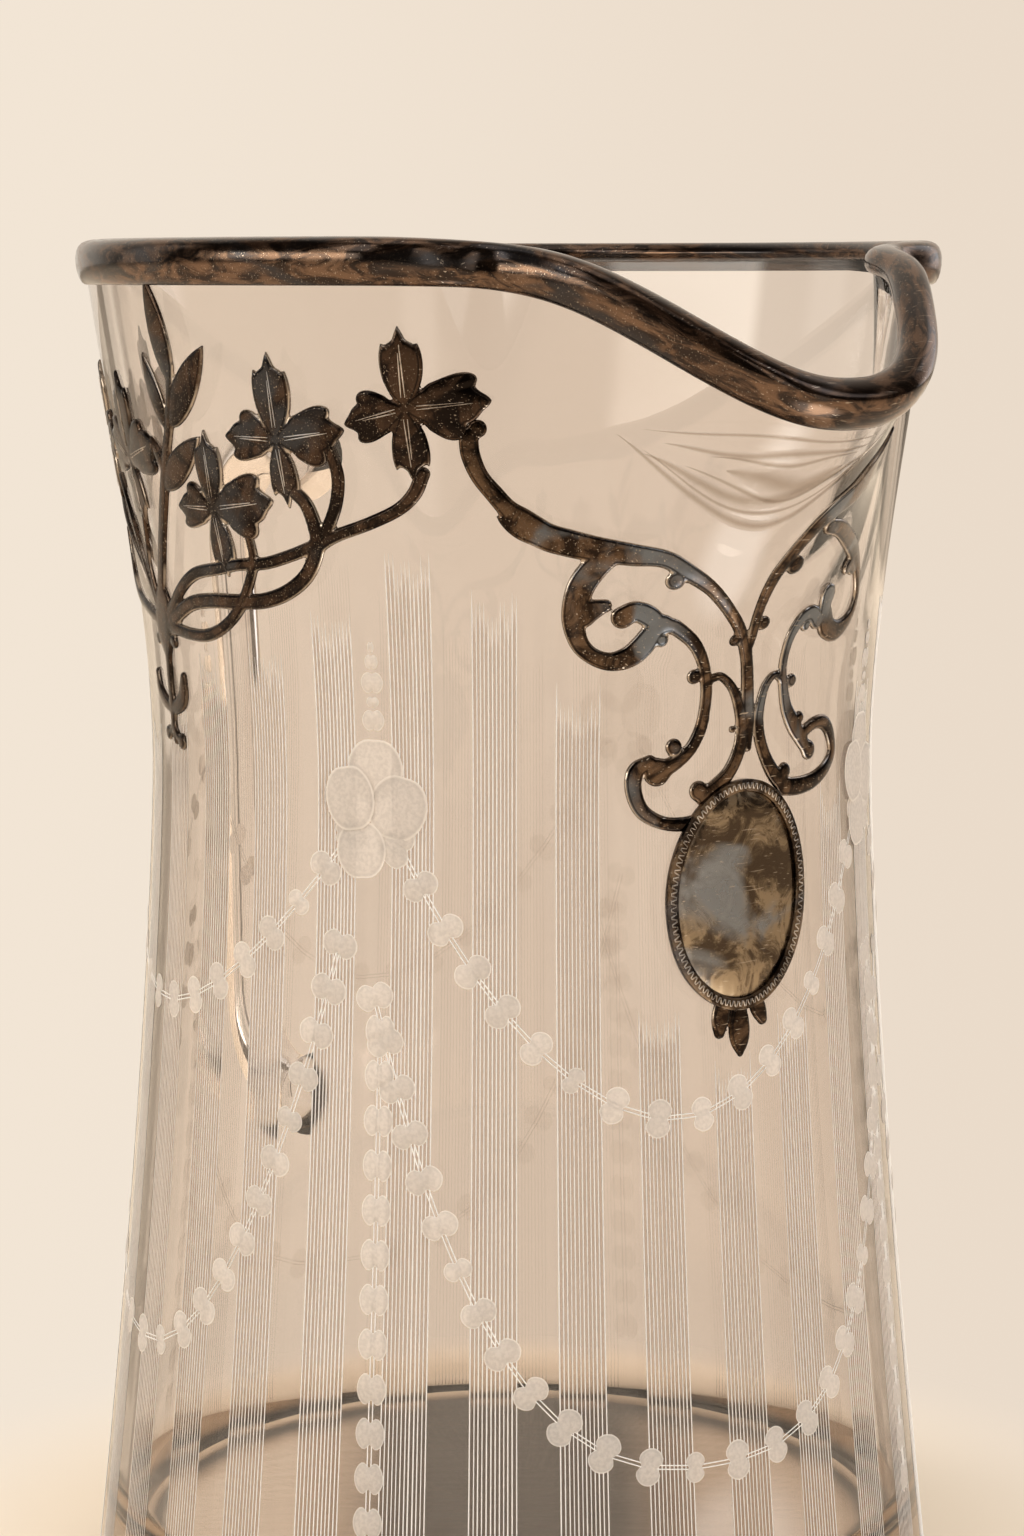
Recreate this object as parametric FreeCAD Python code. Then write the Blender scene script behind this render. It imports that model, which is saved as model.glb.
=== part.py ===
import FreeCAD, Part
import math
import os

from FreeCAD import Matrix, Vector

os.makedirs("parts", exist_ok=True)

# The pitcher stands on z = 0 with its axis on Z. The pouring lip points along +X and the handle along -X.
# Angles are in degrees, counted anticlockwise from +X as seen from above. Lengths are in millimetres.

# Glass body
rim_height = 184.0
waist_height = 117.0
waist_radius = 48.5
rim_flare = 8.3
foot_flare = 9.6
foot_curve_share = 1.4
wall = 3.0
floor_thickness = 11.5
floor_corner = 6.0
heel_round = 3.0

# Pouring lip, pinched out of the rim
lip_reach = 15.0
lip_drop = 18.0
lip_half_angle = 21.0
drop_half_angle = 22.5
pinch_depth = 5.6
pinch_angle = 40.0
pinch_half_angle = 8.5
throat_depth = 40.0

# Silver band over the rim
band_height = 5.8
band_fold = 2.4
band_proud = 1.2
band_top = 1.2
seat_gap = 0.06

# Silver ornament on the outside of the wall
silver = 0.5
silver_gap = 0.08
line_width = 2.0
crumb_share = 0.12

# Scrolls and oval plate under the lip
scroll_size = 50.0
scroll_drop = 65.7
scroll_reach_share = 0.92
plate_width = 21.6
plate_height = 29.0
plate_drop = 14.3
plate_aside = 1.3
plate_lean = 5.5
border_width = 1.5
border_proud = 0.35
drop_length = 6.6
drop_width = 3.4

# Spray of flowers beside the handle
spray_size = 50.0
spray_angle = -97.0
stalk_share = 0.836
tail_share = 0.4
flower_size = 10.0
petal_reach_share = 1.1
leaf_width = 3.6

# Applied glass handle
handle_drop = 30.0
handle_bottom = 60.0
grip_corner = 82.2
handle_thickness = 10.0
handle_rise = 5.0
handle_slant = 9.0
bend_top = 19.0
bend_low = 16.0
pad_size = 18.0
pad_length = 11.0
pad_root = 6.0
pad_end_share = 0.8

# Grid of points that the round skins are laid over
stations_round = 96
rows_up = 26


def body_radius(z):
    """Outer radius of the round body: a flare above the waist and a straighter one below it."""
    above = max(0.0, (z - waist_height) / (rim_height - waist_height))
    below = max(0.0, (waist_height - z) / waist_height)
    return waist_radius + rim_flare * above**2 * (2 - above) + foot_flare * below**foot_curve_share


def band_foot(angle):
    """Height of the rim band's lower edge, which the ornament stays below."""
    return rim_at(angle) + band_top - band_height


def turn_from_lip(angle):
    return abs((angle + 180.0) % 360.0 - 180.0)


def rim_at(angle):
    """Height of the glass edge: level, and dipping over the lip."""
    return rim_height - lip_drop * math.exp(-((turn_from_lip(angle) / drop_half_angle) ** 2.3))


def lip_push(angle):
    """How far the rim stands out of the round at an angle: out at the lip, in at the pinches beside it."""
    turn = turn_from_lip(angle)
    out = lip_reach * math.exp(-((turn / lip_half_angle) ** 2.8))
    pinched = pinch_depth * math.exp(-(((turn - pinch_angle) / pinch_half_angle) ** 2))
    return out - pinched


def wall_radius(angle, z):
    """Outer radius of the wall. The lip's push dies away down the throat with the square of the height."""
    throat = rim_height - lip_drop - throat_depth
    rise = max(0.0, (z - throat) / (rim_at(angle) - throat))
    return body_radius(z) + lip_push(angle) * rise**2


def at(angle, radius, z):
    turn = math.radians(angle)
    return Vector(radius * math.cos(turn), radius * math.sin(turn), z)


def height_on_wall(angle, share, lift=0.0):
    """Height of a row that runs level low down and follows the dipping rim at the top."""
    bend_share = 0.66
    bend = max(0.0, (share - bend_share) / (1 - bend_share)) ** 2
    return share * rim_height + bend * (rim_at(angle) - rim_height + lift)


def sharpened(ring_points):
    """Control points moved off a closed ring of points so that a smooth curve over them meets the points."""
    before, after = ring_points[-1:] + ring_points[:-1], ring_points[1:] + ring_points[:1]
    return [p * (4 / 3) - (a + b) * (1 / 6) for a, p, b in zip(before, ring_points, after)]


def skin(rows, panel_shares=()):
    """A smooth closed skin through rings of points, clamped at both ends, as one ring or ring panels."""
    count = len(rows[0])
    last = len(rows) - 3
    rows = [sharpened(row) for row in rows]
    inner_rows = zip(rows[1:], rows[2:], rows[3:-1])
    upright = [[p * (4 / 3) - (a + b) * (1 / 6) for a, p, b in zip(*three)] for three in inner_rows]
    rows = rows[:2] + upright + rows[-2:]
    inner_knots = list(range(1, last))
    surface = Part.BSplineSurface()
    surface.buildFromPolesMultsKnots(
        rows, [4] + [1] * len(inner_knots) + [4], [1] * (count + 1),
        [0] + inner_knots + [last], list(range(count + 1)), False, True, 3, 3,
    )
    seams = [0] + [round(share * last) for share in panel_shares] + [last]
    return [surface.toShape(low, high, 0, count) for low, high in zip(seams, seams[1:])]


def ring(radius_at, height_at):
    angles = [360.0 * i / stations_round for i in range(stations_round)]
    return [at(a, radius_at(a), height_at(a)) for a in angles]


def closed_curve(points):
    """A smooth closed curve through a ring of points."""
    count = len(points)
    curve = Part.BSplineCurve()
    curve.buildFromPolesMultsKnots(sharpened(points), [1] * (count + 1), list(range(count + 1)), True, 3)
    return Part.Wire(curve.toShape())


def ring_wire(radius, z):
    return closed_curve(ring(lambda a: radius, lambda a: z))


def end_edges(panels):
    """The lowest and the highest closed edge of a skin."""
    closed = [e for panel in panels for e in panel.Edges if e.isClosed() and e.Length > waist_radius]
    closed.sort(key=lambda e: e.CenterOfMass.z)
    return closed[0], closed[-1]


def joined(faces):
    shell = Part.Shell(faces)
    shell.sewShape()
    solid = Part.Solid(shell)
    if solid.Volume < 0:
        solid.reverse()
    return solid


def wall_rows(offset, shares, lift=0.0):
    """Rings of points on the wall, offset from its outer surface, at shares of the height."""
    rows = []
    for share in shares:
        def height(a, share=share):
            return height_on_wall(a, share, lift)
        rows.append(ring(lambda a: wall_radius(a, height(a)) + offset, height))
    return rows


def glass_body():
    """Blown glass: an outer skin above the heel, an inner one above the floor's corner, and their ends."""
    panel_shares = (0.6, 0.8, 0.9)

    def shares_from(low):
        return [(low + (rim_height - low) * i / (rows_up - 1)) / rim_height for i in range(rows_up)]

    corner_height = floor_thickness + floor_corner
    outer = skin(wall_rows(0.0, shares_from(heel_round)), panel_shares)
    inner = skin(wall_rows(-wall, shares_from(corner_height)), panel_shares)
    base = ring_wire(body_radius(heel_round) - heel_round, 0.0)
    floor = ring_wire(body_radius(corner_height) - wall - floor_corner, floor_thickness)
    outer_low, outer_top = end_edges(outer)
    inner_low, inner_top = end_edges(inner)
    return joined(outer + inner + [
        Part.makeRuledSurface(inner_top, outer_top),
        Part.makeRuledSurface(base.Edges[0], outer_low),
        Part.makeRuledSurface(floor.Edges[0], inner_low),
        Part.Face(base),
        Part.Face(floor),
    ])


def rim_frame(angle):
    """A point of the glass edge with its outward and wall-down directions, square to the edge's run."""
    step = 0.5

    def edge_point(a):
        return at(a, wall_radius(a, rim_at(a)), rim_at(a))

    point = edge_point(angle)
    along = edge_point(angle + step).sub(edge_point(angle - step)).normalize()
    lower = point.z - band_height / 2
    down = at(angle, wall_radius(angle, lower), lower).sub(point)
    down = down.sub(along * down.dot(along)).normalize()
    return point, down.cross(along), down


def rim_band():
    """Half-round silver band in narrow strips: over the glass edge and a little way down the inside."""
    outside = band_height - band_top
    section = [
        (seat_gap, outside),
        (band_proud * 0.75, outside * 0.88),
        (band_proud * 1.05, outside * 0.55),
        (band_proud * 0.95, outside * 0.15),
        (band_proud * 0.4, -band_top * 0.6),
        (-wall * 0.3, -band_top),
        (-wall * 0.75, -band_top * 0.95),
        (-wall - band_proud * 0.5, -band_top * 0.5),
        (-wall - band_proud, band_fold * 0.2),
        (-wall - band_proud * 0.8, band_fold * 0.75),
        (-wall - seat_gap, band_fold),
    ]

    def seated(point, offset):
        """The point moved level onto the wall's outer surface, or so far off it."""
        angle = math.degrees(math.atan2(point.y, point.x))
        return at(angle, wall_radius(angle, point.z) + offset, point.z)

    beads = [[] for _ in section]
    slot = [[], []]
    for i in range(stations_round):
        angle = 360.0 * i / stations_round
        point, out, down = rim_frame(angle)
        for row, (across, drop) in zip(beads, section):
            row.append(point + out * across + down * drop)
        beads[0][i] = seated(beads[0][i], seat_gap)
        beads[-1][i] = seated(beads[-1][i], -wall - seat_gap)
        top = rim_at(angle) + seat_gap
        slot[0].append(at(angle, wall_radius(angle, rim_at(angle)) + seat_gap, top))
        slot[1].append(at(angle, wall_radius(angle, rim_at(angle)) - wall - seat_gap, top))
    edges = [closed_curve(row).Edges[0] for row in beads + slot[::-1]]
    return joined([Part.makeRuledSurface(*pair) for pair in zip(edges, edges[1:] + edges[:1])])


# Flat drawing of the ornament. A point lies so far across the girth, measured at the waist, and so far up.
# It is drawn on a plane far from the axis and thrown onto the wall along rays from the axis.
far_plane = 2 * waist_radius
near_plane = waist_radius / 4


def on_plane(across, up):
    return Vector(far_plane * math.tan(across / waist_radius), up, 0)


def plane_matrix(angle, height, distance):
    """Carries the far plane's drawing to a plane nearer the axis, narrowed towards the axis."""
    turn = math.radians(angle)
    narrow = distance / far_plane
    return Matrix(
        -math.sin(turn) * narrow, 0, math.cos(turn), distance * math.cos(turn),
        math.cos(turn) * narrow, 0, math.sin(turn), distance * math.sin(turn),
        0, 1, 0, height,
        0, 0, 0, 1,
    )


def outline(edges):
    """A flat face inside a closed outline. Each edge is two, three or more points: line, arc or curve."""
    curves = []
    for edge in edges:
        points = [on_plane(*point) for point in edge]
        if len(points) == 2:
            curves.append(Part.LineSegment(*points).toShape())
        elif len(points) == 3:
            curves.append(Part.Arc(*points).toShape())
        else:
            curve = Part.BSplineCurve()
            curve.interpolate(points)
            curves.append(curve.toShape())
    return Part.Face(Part.Wire(curves))


def knob(across, up, radius):
    """A round boss of the ornament."""
    left, right = (across - radius, up), (across + radius, up)
    return outline([(left, (across, up + radius), right), (right, (across, up - radius), left)])


def stroke(line):
    """A scroll line of changing width with round ends, from rows of across, up and half width."""
    left, right = [], []
    for i, (across, up, half) in enumerate(line):
        before, after = line[max(i - 1, 0)], line[min(i + 1, len(line) - 1)]
        run = math.hypot(after[0] - before[0], after[1] - before[1])
        along = ((after[0] - before[0]) / run, (after[1] - before[1]) / run)
        left.append((across - along[1] * half, up + along[0] * half))
        right.append((across + along[1] * half, up - along[0] * half))
        if i == 0:
            start = (across - along[0] * half, up - along[1] * half)
        end = (across + along[0] * half, up + along[1] * half)
    right.reverse()
    return outline([left, (left[-1], end, right[0]), right, (right[-1], start, left[0])])


def blade(base, tip, half_width_share, edge_shares):
    """A petal or leaf: one half's edges, as shares of its length along and across, and their mirror image."""
    along = (tip[0] - base[0], tip[1] - base[1])

    def placed(share, side):
        return (
            base[0] + along[0] * share[0] - along[1] * share[1] * side * half_width_share,
            base[1] + along[1] * share[0] + along[0] * share[1] * side * half_width_share,
        )

    there = [[placed(p, 1) for p in edge] for edge in edge_shares]
    back = [[placed(p, -1) for p in reversed(edge)] for edge in reversed(edge_shares)]
    heel = [[placed(edge_shares[0][0], -1), placed(edge_shares[0][0], 1)]]
    return outline(there + back + heel)


def fused(faces):
    whole = faces[0].multiFuse(faces[1:]) if len(faces) > 1 else faces[0]
    return whole.removeSplitter()


def less(drawing, *others):
    """The drawing without the ground that other drawings cover, and without crumbs left beyond them."""
    for other in others:
        drawing = drawing.cut(other)
    faces = sorted(drawing.Faces, key=lambda face: face.Area)
    return Part.makeCompound([face for face in faces if face.Area > crumb_share * faces[-1].Area])


def wall_slab(angle, reach, low, thickness):
    """A stretch of silver lying on the wall, so far to both sides of an angle, up to the band's foot."""
    step_angle = 4.0
    step_height = waist_radius / 8
    half = math.degrees(reach / waist_radius)
    columns = round(2 * half / step_angle)
    rows = round((rim_height - low) / step_height)
    turns = [angle - half + 2 * half * i / columns for i in range(columns + 1)]
    shares = [i / rows for i in range(rows + 1)]
    faces = []
    for offset in (silver_gap, silver_gap + thickness):
        points = []
        for turn in turns:
            heights = [low + share * (band_foot(turn) - low) for share in shares]
            points.append([at(turn, wall_radius(turn, z) + offset, z) for z in heights])
        surface = Part.BSplineSurface()
        surface.interpolate(points)
        faces.append(surface.toShape())
    sides = [Part.makeRuledSurface(*pair) for pair in zip(faces[0].Edges, faces[1].Edges)]
    return joined(faces + sides)


def thrown(drawing, angle, height):
    """Blocks from near the axis to far outside the wall that have the drawing as their section."""
    blocks = []
    for face in drawing.Faces:
        wires = [face.OuterWire] + [w for w in face.Wires if not w.isSame(face.OuterWire)]
        lofts = []
        for wire in wires:
            ends = [wire.transformGeometry(plane_matrix(angle, height, d)) for d in (near_plane, far_plane)]
            lofts.append(Part.makeLoft(ends, True, True))
        blocks.append(lofts[0].cut(lofts[1:]) if len(lofts) > 1 else lofts[0])
    return blocks


def laid(blocks, slab):
    """What the blocks cut out of a slab of silver."""
    solids = [solid for block in blocks for solid in slab.common(block).Solids]
    return Part.makeCompound(solids) if len(solids) > 1 else solids[0]


# Scroll lines as shares of scroll_size across and up, with the half width as a share of line_width / 2.
# The two sides are drawn apart: the left arm swings out to the spray and the right one climbs to the lip.
stem_shares = (
    (-0.026, 0.335, 0.5), (-0.019, 0.283, 0.85), (-0.012, 0.242, 0.95), (-0.006, 0.194, 1.0), (0.0, 0.146, 0.9),
    (0.003, 0.08, 0.5),
)
scroll_shares = {
    "left": {
        "arm": (
            (-0.725, 0.865, 1.1), (-0.72, 0.82, 1.1), (-0.7, 0.77, 1.05), (-0.665, 0.725, 1.1),
            (-0.635, 0.69, 1.2), (-0.6, 0.66, 1.6), (-0.55, 0.626, 1.7), (-0.5, 0.61, 1.7),
            (-0.44, 0.595, 1.6), (-0.355, 0.58, 1.4), (-0.28, 0.568, 1.1), (-0.225, 0.535, 1.05),
            (-0.16, 0.49, 0.86), (-0.1, 0.43, 0.8), (-0.06, 0.38, 0.8), (-0.035, 0.325, 0.75),
            (-0.018, 0.275, 0.8),
        ),
        "arm_knobs": ((-0.705, 0.884, 1.1), (-0.25, 0.514, 1.15), (-0.072, 0.356, 0.7)),
        "arm_leaf": ((-0.53, 0.62), (-0.66, 0.672)),
        "c": (
            (-0.425, 0.56, 1.4), (-0.465, 0.52, 1.6), (-0.475, 0.46, 1.9), (-0.468, 0.395, 1.6),
            (-0.445, 0.35, 1.3), (-0.405, 0.318, 1.25), (-0.36, 0.313, 1.25), (-0.322, 0.338, 1.25),
            (-0.304, 0.378, 1.4),
        ),
        "c_knobs": ((-0.418, 0.45, 1.3), (-0.37, 0.428, 1.5), (-0.328, 0.43, 1.9)),
        "lower": (
            (-0.282, 0.402, 1.3), (-0.25, 0.402, 1.0), (-0.228, 0.392, 0.95), (-0.183, 0.355, 0.86),
            (-0.152, 0.306, 0.8), (-0.136, 0.25, 0.8), (-0.134, 0.2, 0.8), (-0.142, 0.145, 0.86),
            (-0.167, 0.095, 0.86), (-0.2, 0.064, 0.9), (-0.245, 0.042, 1.2),
        ),
        "curl": (
            (-0.282, 0.062, 0.9), (-0.318, 0.04, 1.15), (-0.324, -0.005, 1.1), (-0.302, -0.058, 1.0),
            (-0.25, -0.09, 0.86), (-0.19, -0.098, 0.92), (-0.13, -0.09, 1.0),
        ),
        "lower_knobs": (
            (-0.268, 0.366, 0.9), (-0.172, 0.27, 0.95), (-0.218, 0.096, 1.1), (-0.262, 0.036, 1.8),
        ),
        "inner": (
            (-0.124, 0.262, 0.55), (-0.095, 0.266, 0.55), (-0.06, 0.238, 0.63), (-0.037, 0.198, 0.75),
            (-0.022, 0.152, 0.9), (-0.02, 0.104, 1.0), (-0.034, 0.058, 1.0), (-0.06, 0.018, 1.0),
            (-0.096, -0.012, 1.1), (-0.13, -0.034, 1.2),
        ),
        "inner_knobs": ((-0.146, -0.018, 1.3), (-0.05, 0.13, 0.45)),
    },
    "right": {
        "arm": (
            (0.275, 0.87, 0.35), (0.245, 0.835, 0.7), (0.222, 0.8, 1.3), (0.194, 0.76, 1.8),
            (0.155, 0.716, 1.6), (0.108, 0.682, 1.35), (0.073, 0.648, 1.1), (0.046, 0.607, 0.95),
            (0.022, 0.564, 0.9), (0.001, 0.521, 0.85), (-0.012, 0.474, 0.78), (-0.02, 0.42, 0.7),
            (-0.022, 0.375, 0.7), (-0.024, 0.345, 0.6),
        ),
        "arm_knobs": ((0.048, 0.542, 1.2), (0.004, 0.397, 0.9)),
        "arm_leaf": ((0.13, 0.69), (0.255, 0.79)),
        "c": (
            (0.116, 0.635, 1.0), (0.16, 0.628, 1.1), (0.205, 0.612, 1.2), (0.296, 0.568, 1.3),
            (0.36, 0.514, 0.95), (0.392, 0.456, 0.75), (0.388, 0.408, 0.8), (0.357, 0.373, 1.0),
            (0.303, 0.354, 1.4), (0.25, 0.37, 1.5), (0.232, 0.398, 1.5),
        ),
        "c_knobs": ((0.315, 0.525, 1.1), (0.285, 0.518, 1.0), (0.223, 0.44, 1.75)),
        "lower": (
            (0.2, 0.39, 1.2), (0.169, 0.41, 1.1), (0.135, 0.4, 0.95), (0.11, 0.363, 0.8),
            (0.1, 0.316, 0.7), (0.101, 0.268, 0.7), (0.114, 0.219, 0.8), (0.132, 0.169, 1.0),
            (0.162, 0.126, 1.25), (0.192, 0.09, 1.1), (0.215, 0.065, 1.0),
        ),
        "curl": (
            (0.2, 0.1, 0.9), (0.25, 0.12, 0.85), (0.298, 0.117, 1.0), (0.33, 0.084, 0.95),
            (0.342, 0.038, 0.85), (0.312, 0.0, 0.95), (0.255, -0.026, 1.1), (0.19, -0.034, 1.2),
            (0.13, -0.03, 1.2),
        ),
        "lower_knobs": ((0.229, 0.054, 1.3), (0.138, 0.24, 0.9), (0.184, 0.142, 0.8), (0.155, 0.38, 0.8)),
        "inner": (
            (0.101, 0.247, 0.5), (0.074, 0.259, 0.55), (0.05, 0.237, 0.65), (0.038, 0.197, 0.75),
            (0.033, 0.15, 0.85), (0.041, 0.102, 0.9), (0.062, 0.053, 0.95), (0.092, 0.009, 1.1),
            (0.125, -0.022, 1.2),
        ),
        "inner_knobs": ((0.132, 0.01, 1.1),),
    },
}

# Stem lines of the spray as shares of spray_size, drawn on the lip's side of its knot
stalk_shares = (
    (0.155, 0.64, 0.7), (0.138, 0.555, 0.75), (0.116, 0.488, 0.8), (0.086, 0.42, 0.85), (0.044, 0.318, 0.95),
    (-0.006, 0.196, 0.95), (-0.07, 0.03, 1.1),
)
upper_loop_shares = (
    (-0.05, -0.02, 1.0), (0.0, 0.02, 0.9), (0.064, 0.076, 0.85), (0.138, 0.117, 0.85), (0.234, 0.136, 0.85),
    (0.308, 0.15, 0.8), (0.394, 0.158, 0.8), (0.476, 0.182, 0.8), (0.556, 0.214, 0.8),
)
main_loop_shares = (
    (-0.05, -0.036, 1.1), (0.02, 0.0, 1.0), (0.104, 0.038, 1.0), (0.194, 0.052, 1.0), (0.294, 0.056, 1.0),
    (0.382, 0.064, 1.0), (0.456, 0.09, 1.0), (0.514, 0.134, 1.0), (0.546, 0.194, 1.0), (0.55, 0.242, 1.0),
    (0.53, 0.308, 0.95), (0.494, 0.345, 0.9),
)
low_loop_shares = (
    (-0.05, -0.03, 1.0), (0.01, -0.035, 0.9), (0.086, -0.042, 0.85), (0.162, -0.038, 0.85), (0.234, -0.01, 0.8),
    (0.296, 0.04, 0.8), (0.34, 0.11, 0.75), (0.36, 0.168, 0.7), (0.352, 0.23, 0.65),
)
last_flower_stem_shares = (
    (0.815, 0.39, 0.85), (0.795, 0.342, 0.85), (0.757, 0.303, 0.8), (0.688, 0.268, 0.8), (0.6, 0.234, 0.8),
    (0.55, 0.205, 0.8),
)
second_flower_stem_shares = (
    (0.596, 0.46, 0.8), (0.614, 0.4, 0.8), (0.616, 0.36, 0.8), (0.604, 0.304, 0.8), (0.575, 0.24, 0.8),
)
thin_stem_shares = (
    ((-0.1, 0.02, 0.6), (-0.148, 0.1, 0.55), (-0.2, 0.19, 0.5), (-0.25, 0.27, 0.5), (-0.31, 0.34, 0.5)),
    ((-0.09, 0.03, 0.6), (-0.12, 0.12, 0.5), (-0.114, 0.18, 0.5), (-0.108, 0.25, 0.5)),
    ((-0.08, 0.0, 0.8), (-0.16, 0.1, 0.6), (-0.3, 0.2, 0.55), (-0.46, 0.29, 0.5), (-0.62, 0.36, 0.5)),
    ((-0.1, -0.02, 0.9), (-0.2, 0.002, 0.8), (-0.3, 0.03, 0.8), (-0.4, 0.09, 0.7), (-0.44, 0.19, 0.6)),
)
knot_shares = (
    (-0.054, 0.03, 2.1), (-0.068, -0.03, 2.6), (-0.066, -0.08, 1.6), (-0.064, -0.11, 0.9), (-0.066, -0.17, 0.8),
    (-0.062, -0.24, 0.9), (-0.06, -0.29, 0.7), (-0.05, -0.33, 0.6),
)
knot_boss_shares = ((-0.118, -0.07, 0.9), (-0.015, -0.07, 0.9), (-0.1, -0.315, 1.0), (-0.012, -0.33, 1.1))
hook_shares = (
    ((-0.06, -0.25, 0.8), (-0.11, -0.235, 1.0), (-0.15, -0.21, 1.0), (-0.165, -0.165, 0.7)),
    ((-0.06, -0.25, 0.8), (-0.02, -0.235, 1.1), (0.01, -0.21, 1.2), (0.02, -0.16, 0.7)),
    ((-0.06, -0.29, 0.7), (-0.075, -0.305, 0.6), (-0.09, -0.31, 0.6), (-0.1, -0.315, 0.6)),
    ((-0.055, -0.3, 0.7), (-0.04, -0.315, 0.6), (-0.025, -0.325, 0.6), (-0.012, -0.33, 0.6)),
)
stem_leaf_shares = (
    ((0.15, 0.6), (0.1, 0.86), 1.0), ((0.105, 0.48), (0.045, 0.67), 0.8), ((0.13, 0.49), (0.28, 0.69), 1.15),
    ((0.06, 0.33), (0.228, 0.465), 1.1), ((0.07, 0.37), (0.02, 0.46), 0.5),
)

# Flowers: centre, then for the four petals their directions and their lengths as shares of flower_size
right_flower_shares = (
    ((0.25, 0.288), (91.0, 8.0, -83.0, 180.0), (0.98, 0.95, 0.86, 0.7)),
    ((0.47, 0.466), (92.0, 9.0, -85.0, 178.0), (1.06, 0.86, 0.84, 0.75)),
    ((0.782, 0.546), (93.0, 6.0, -85.0, 196.0), (0.98, 0.94, 0.9, 0.72)),
)
left_flower_shares = (
    ((-0.13, 0.396), (87.0, 23.0, -104.0, 165.0), (1.12, 0.82, 0.86, 0.88)),
    ((-0.42, 0.44), (90.0, 10.0, -88.0, 178.0), (1.0, 0.88, 0.86, 0.76)),
    ((-0.69, 0.52), (92.0, 6.0, -86.0, 190.0), (0.98, 0.92, 0.88, 0.74)),
)
long_petal_shares = (
    ((0.05, 0.03), (0.24, 0.16), (0.45, 0.24)), ((0.45, 0.24), (0.66, 0.28), (0.82, 0.22)),
    ((0.82, 0.22), (0.76, 0.13)), ((0.76, 0.13), (0.89, 0.1), (1.0, 0.0)),
)
side_petal_shares = (
    ((0.05, 0.03), (0.22, 0.12), (0.36, 0.24)), ((0.36, 0.24), (0.6, 0.4), (0.79, 0.35)),
    ((0.79, 0.35), (0.75, 0.23)), ((0.75, 0.23), (0.9, 0.19), (1.0, 0.0)),
)
low_petal_shares = (
    ((0.05, 0.03), (0.3, 0.17), (0.52, 0.24)), ((0.52, 0.24), (0.66, 0.26), (0.76, 0.15)),
    ((0.76, 0.15), (0.91, 0.11), (1.0, 0.0)),
)
leaf_shares = (((0.0, 0.12), (0.5, 1.0), (1.0, 0.0)),)
drop_shares = (((0.0, 0.3), (0.55, 1.0), (1.0, 0.0)),)
boss_share = 0.09


def sized(shares, size):
    return [(across * size, up * size, half * line_width / 2) for across, up, half in shares]


def knobs(shares, size):
    return [knob(*row) for row in sized(shares, size)]


def flower(place, turns, lengths, side):
    """Four petals and a boss: a long toothed one, two lobed ones and a narrow one."""
    kinds = (long_petal_shares, side_petal_shares, low_petal_shares, side_petal_shares)
    centre = (place[0] * spray_size, place[1] * spray_size)
    petals = []
    for turn, length, kind in zip(turns, lengths, kinds):
        way = math.radians(turn)
        reach = length * flower_size
        tip = (centre[0] + side * reach * math.cos(way), centre[1] + reach * math.sin(way))
        petals.append(blade(centre, tip, 1, kind))
    return fused(petals + [knob(*centre, boss_share * flower_size)])


def oval(width, height):
    """A leaning oval round the plate's centre."""
    lean = math.radians(plate_lean)
    count = 12
    points = []
    for i in range(count):
        turn = 2 * math.pi * i / count
        x, y = width / 2 * math.cos(turn), height / 2 * math.sin(turn)
        points.append(on_plane(
            x * math.cos(lean) + y * math.sin(lean) - plate_aside,
            y * math.cos(lean) - x * math.sin(lean) - plate_drop,
        ))
    curve = Part.BSplineCurve()
    curve.interpolate(points, PeriodicFlag=True)
    return Part.Face(Part.Wire(curve.toShape()))


def pendant_drops():
    """Three drops under the plate: a long one between two short ones."""
    drops = []
    top = -plate_drop - plate_height / 2
    for aside, length_share in ((-0.75, 0.72), (0.0, 1.0), (0.75, 0.72)):
        base = (aside * drop_width - plate_aside, top + border_width / 2)
        tip = (base[0] + aside * border_width / 2, top - drop_length * length_share)
        width_share = drop_width / 2 / (base[1] - tip[1])
        drops.append(blade(base, tip, width_share, drop_shares))
    return fused(drops)


def scroll_pieces():
    """The drawings of the scrollwork, each without the ground of the pieces laid before it."""
    whole_oval = oval(plate_width, plate_height)
    plate = oval(plate_width - 2 * border_width, plate_height - 2 * border_width)
    stem = less(stroke(sized(stem_shares, scroll_size)), whole_oval)
    pieces = {
        "cartouche_plate": plate,
        "cartouche_border": whole_oval.cut(plate),
        "centre_stem": stem,
        "pendant_drops": less(pendant_drops(), whole_oval),
    }
    arms = []
    for name, lines in scroll_shares.items():
        drawn = {part: stroke(sized(lines[part], scroll_size)) for part in ("arm", "c", "lower", "curl", "inner")}
        bosses = {part: knobs(lines[part + "_knobs"], scroll_size) for part in ("arm", "c", "lower", "inner")}
        base, tip = [(across * scroll_size, up * scroll_size) for across, up in lines["arm_leaf"]]
        leaf = blade(base, tip, line_width / math.dist(base, tip), leaf_shares)
        arm = less(fused([drawn["arm"], leaf] + bosses["arm"]), stem, *arms)
        arms.append(arm)
        inner = less(fused([drawn["inner"]] + bosses["inner"]), whole_oval, stem)
        c_scroll = less(fused([drawn["c"]] + bosses["c"]), arm)
        lower = less(fused([drawn["lower"], drawn["curl"]] + bosses["lower"]), c_scroll, inner, whole_oval)
        pieces[name + "_arm_scroll"] = arm
        pieces[name + "_inner_scroll"] = inner
        pieces[name + "_c_scroll"] = c_scroll
        pieces[name + "_lower_scroll"] = lower
    return pieces


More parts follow.
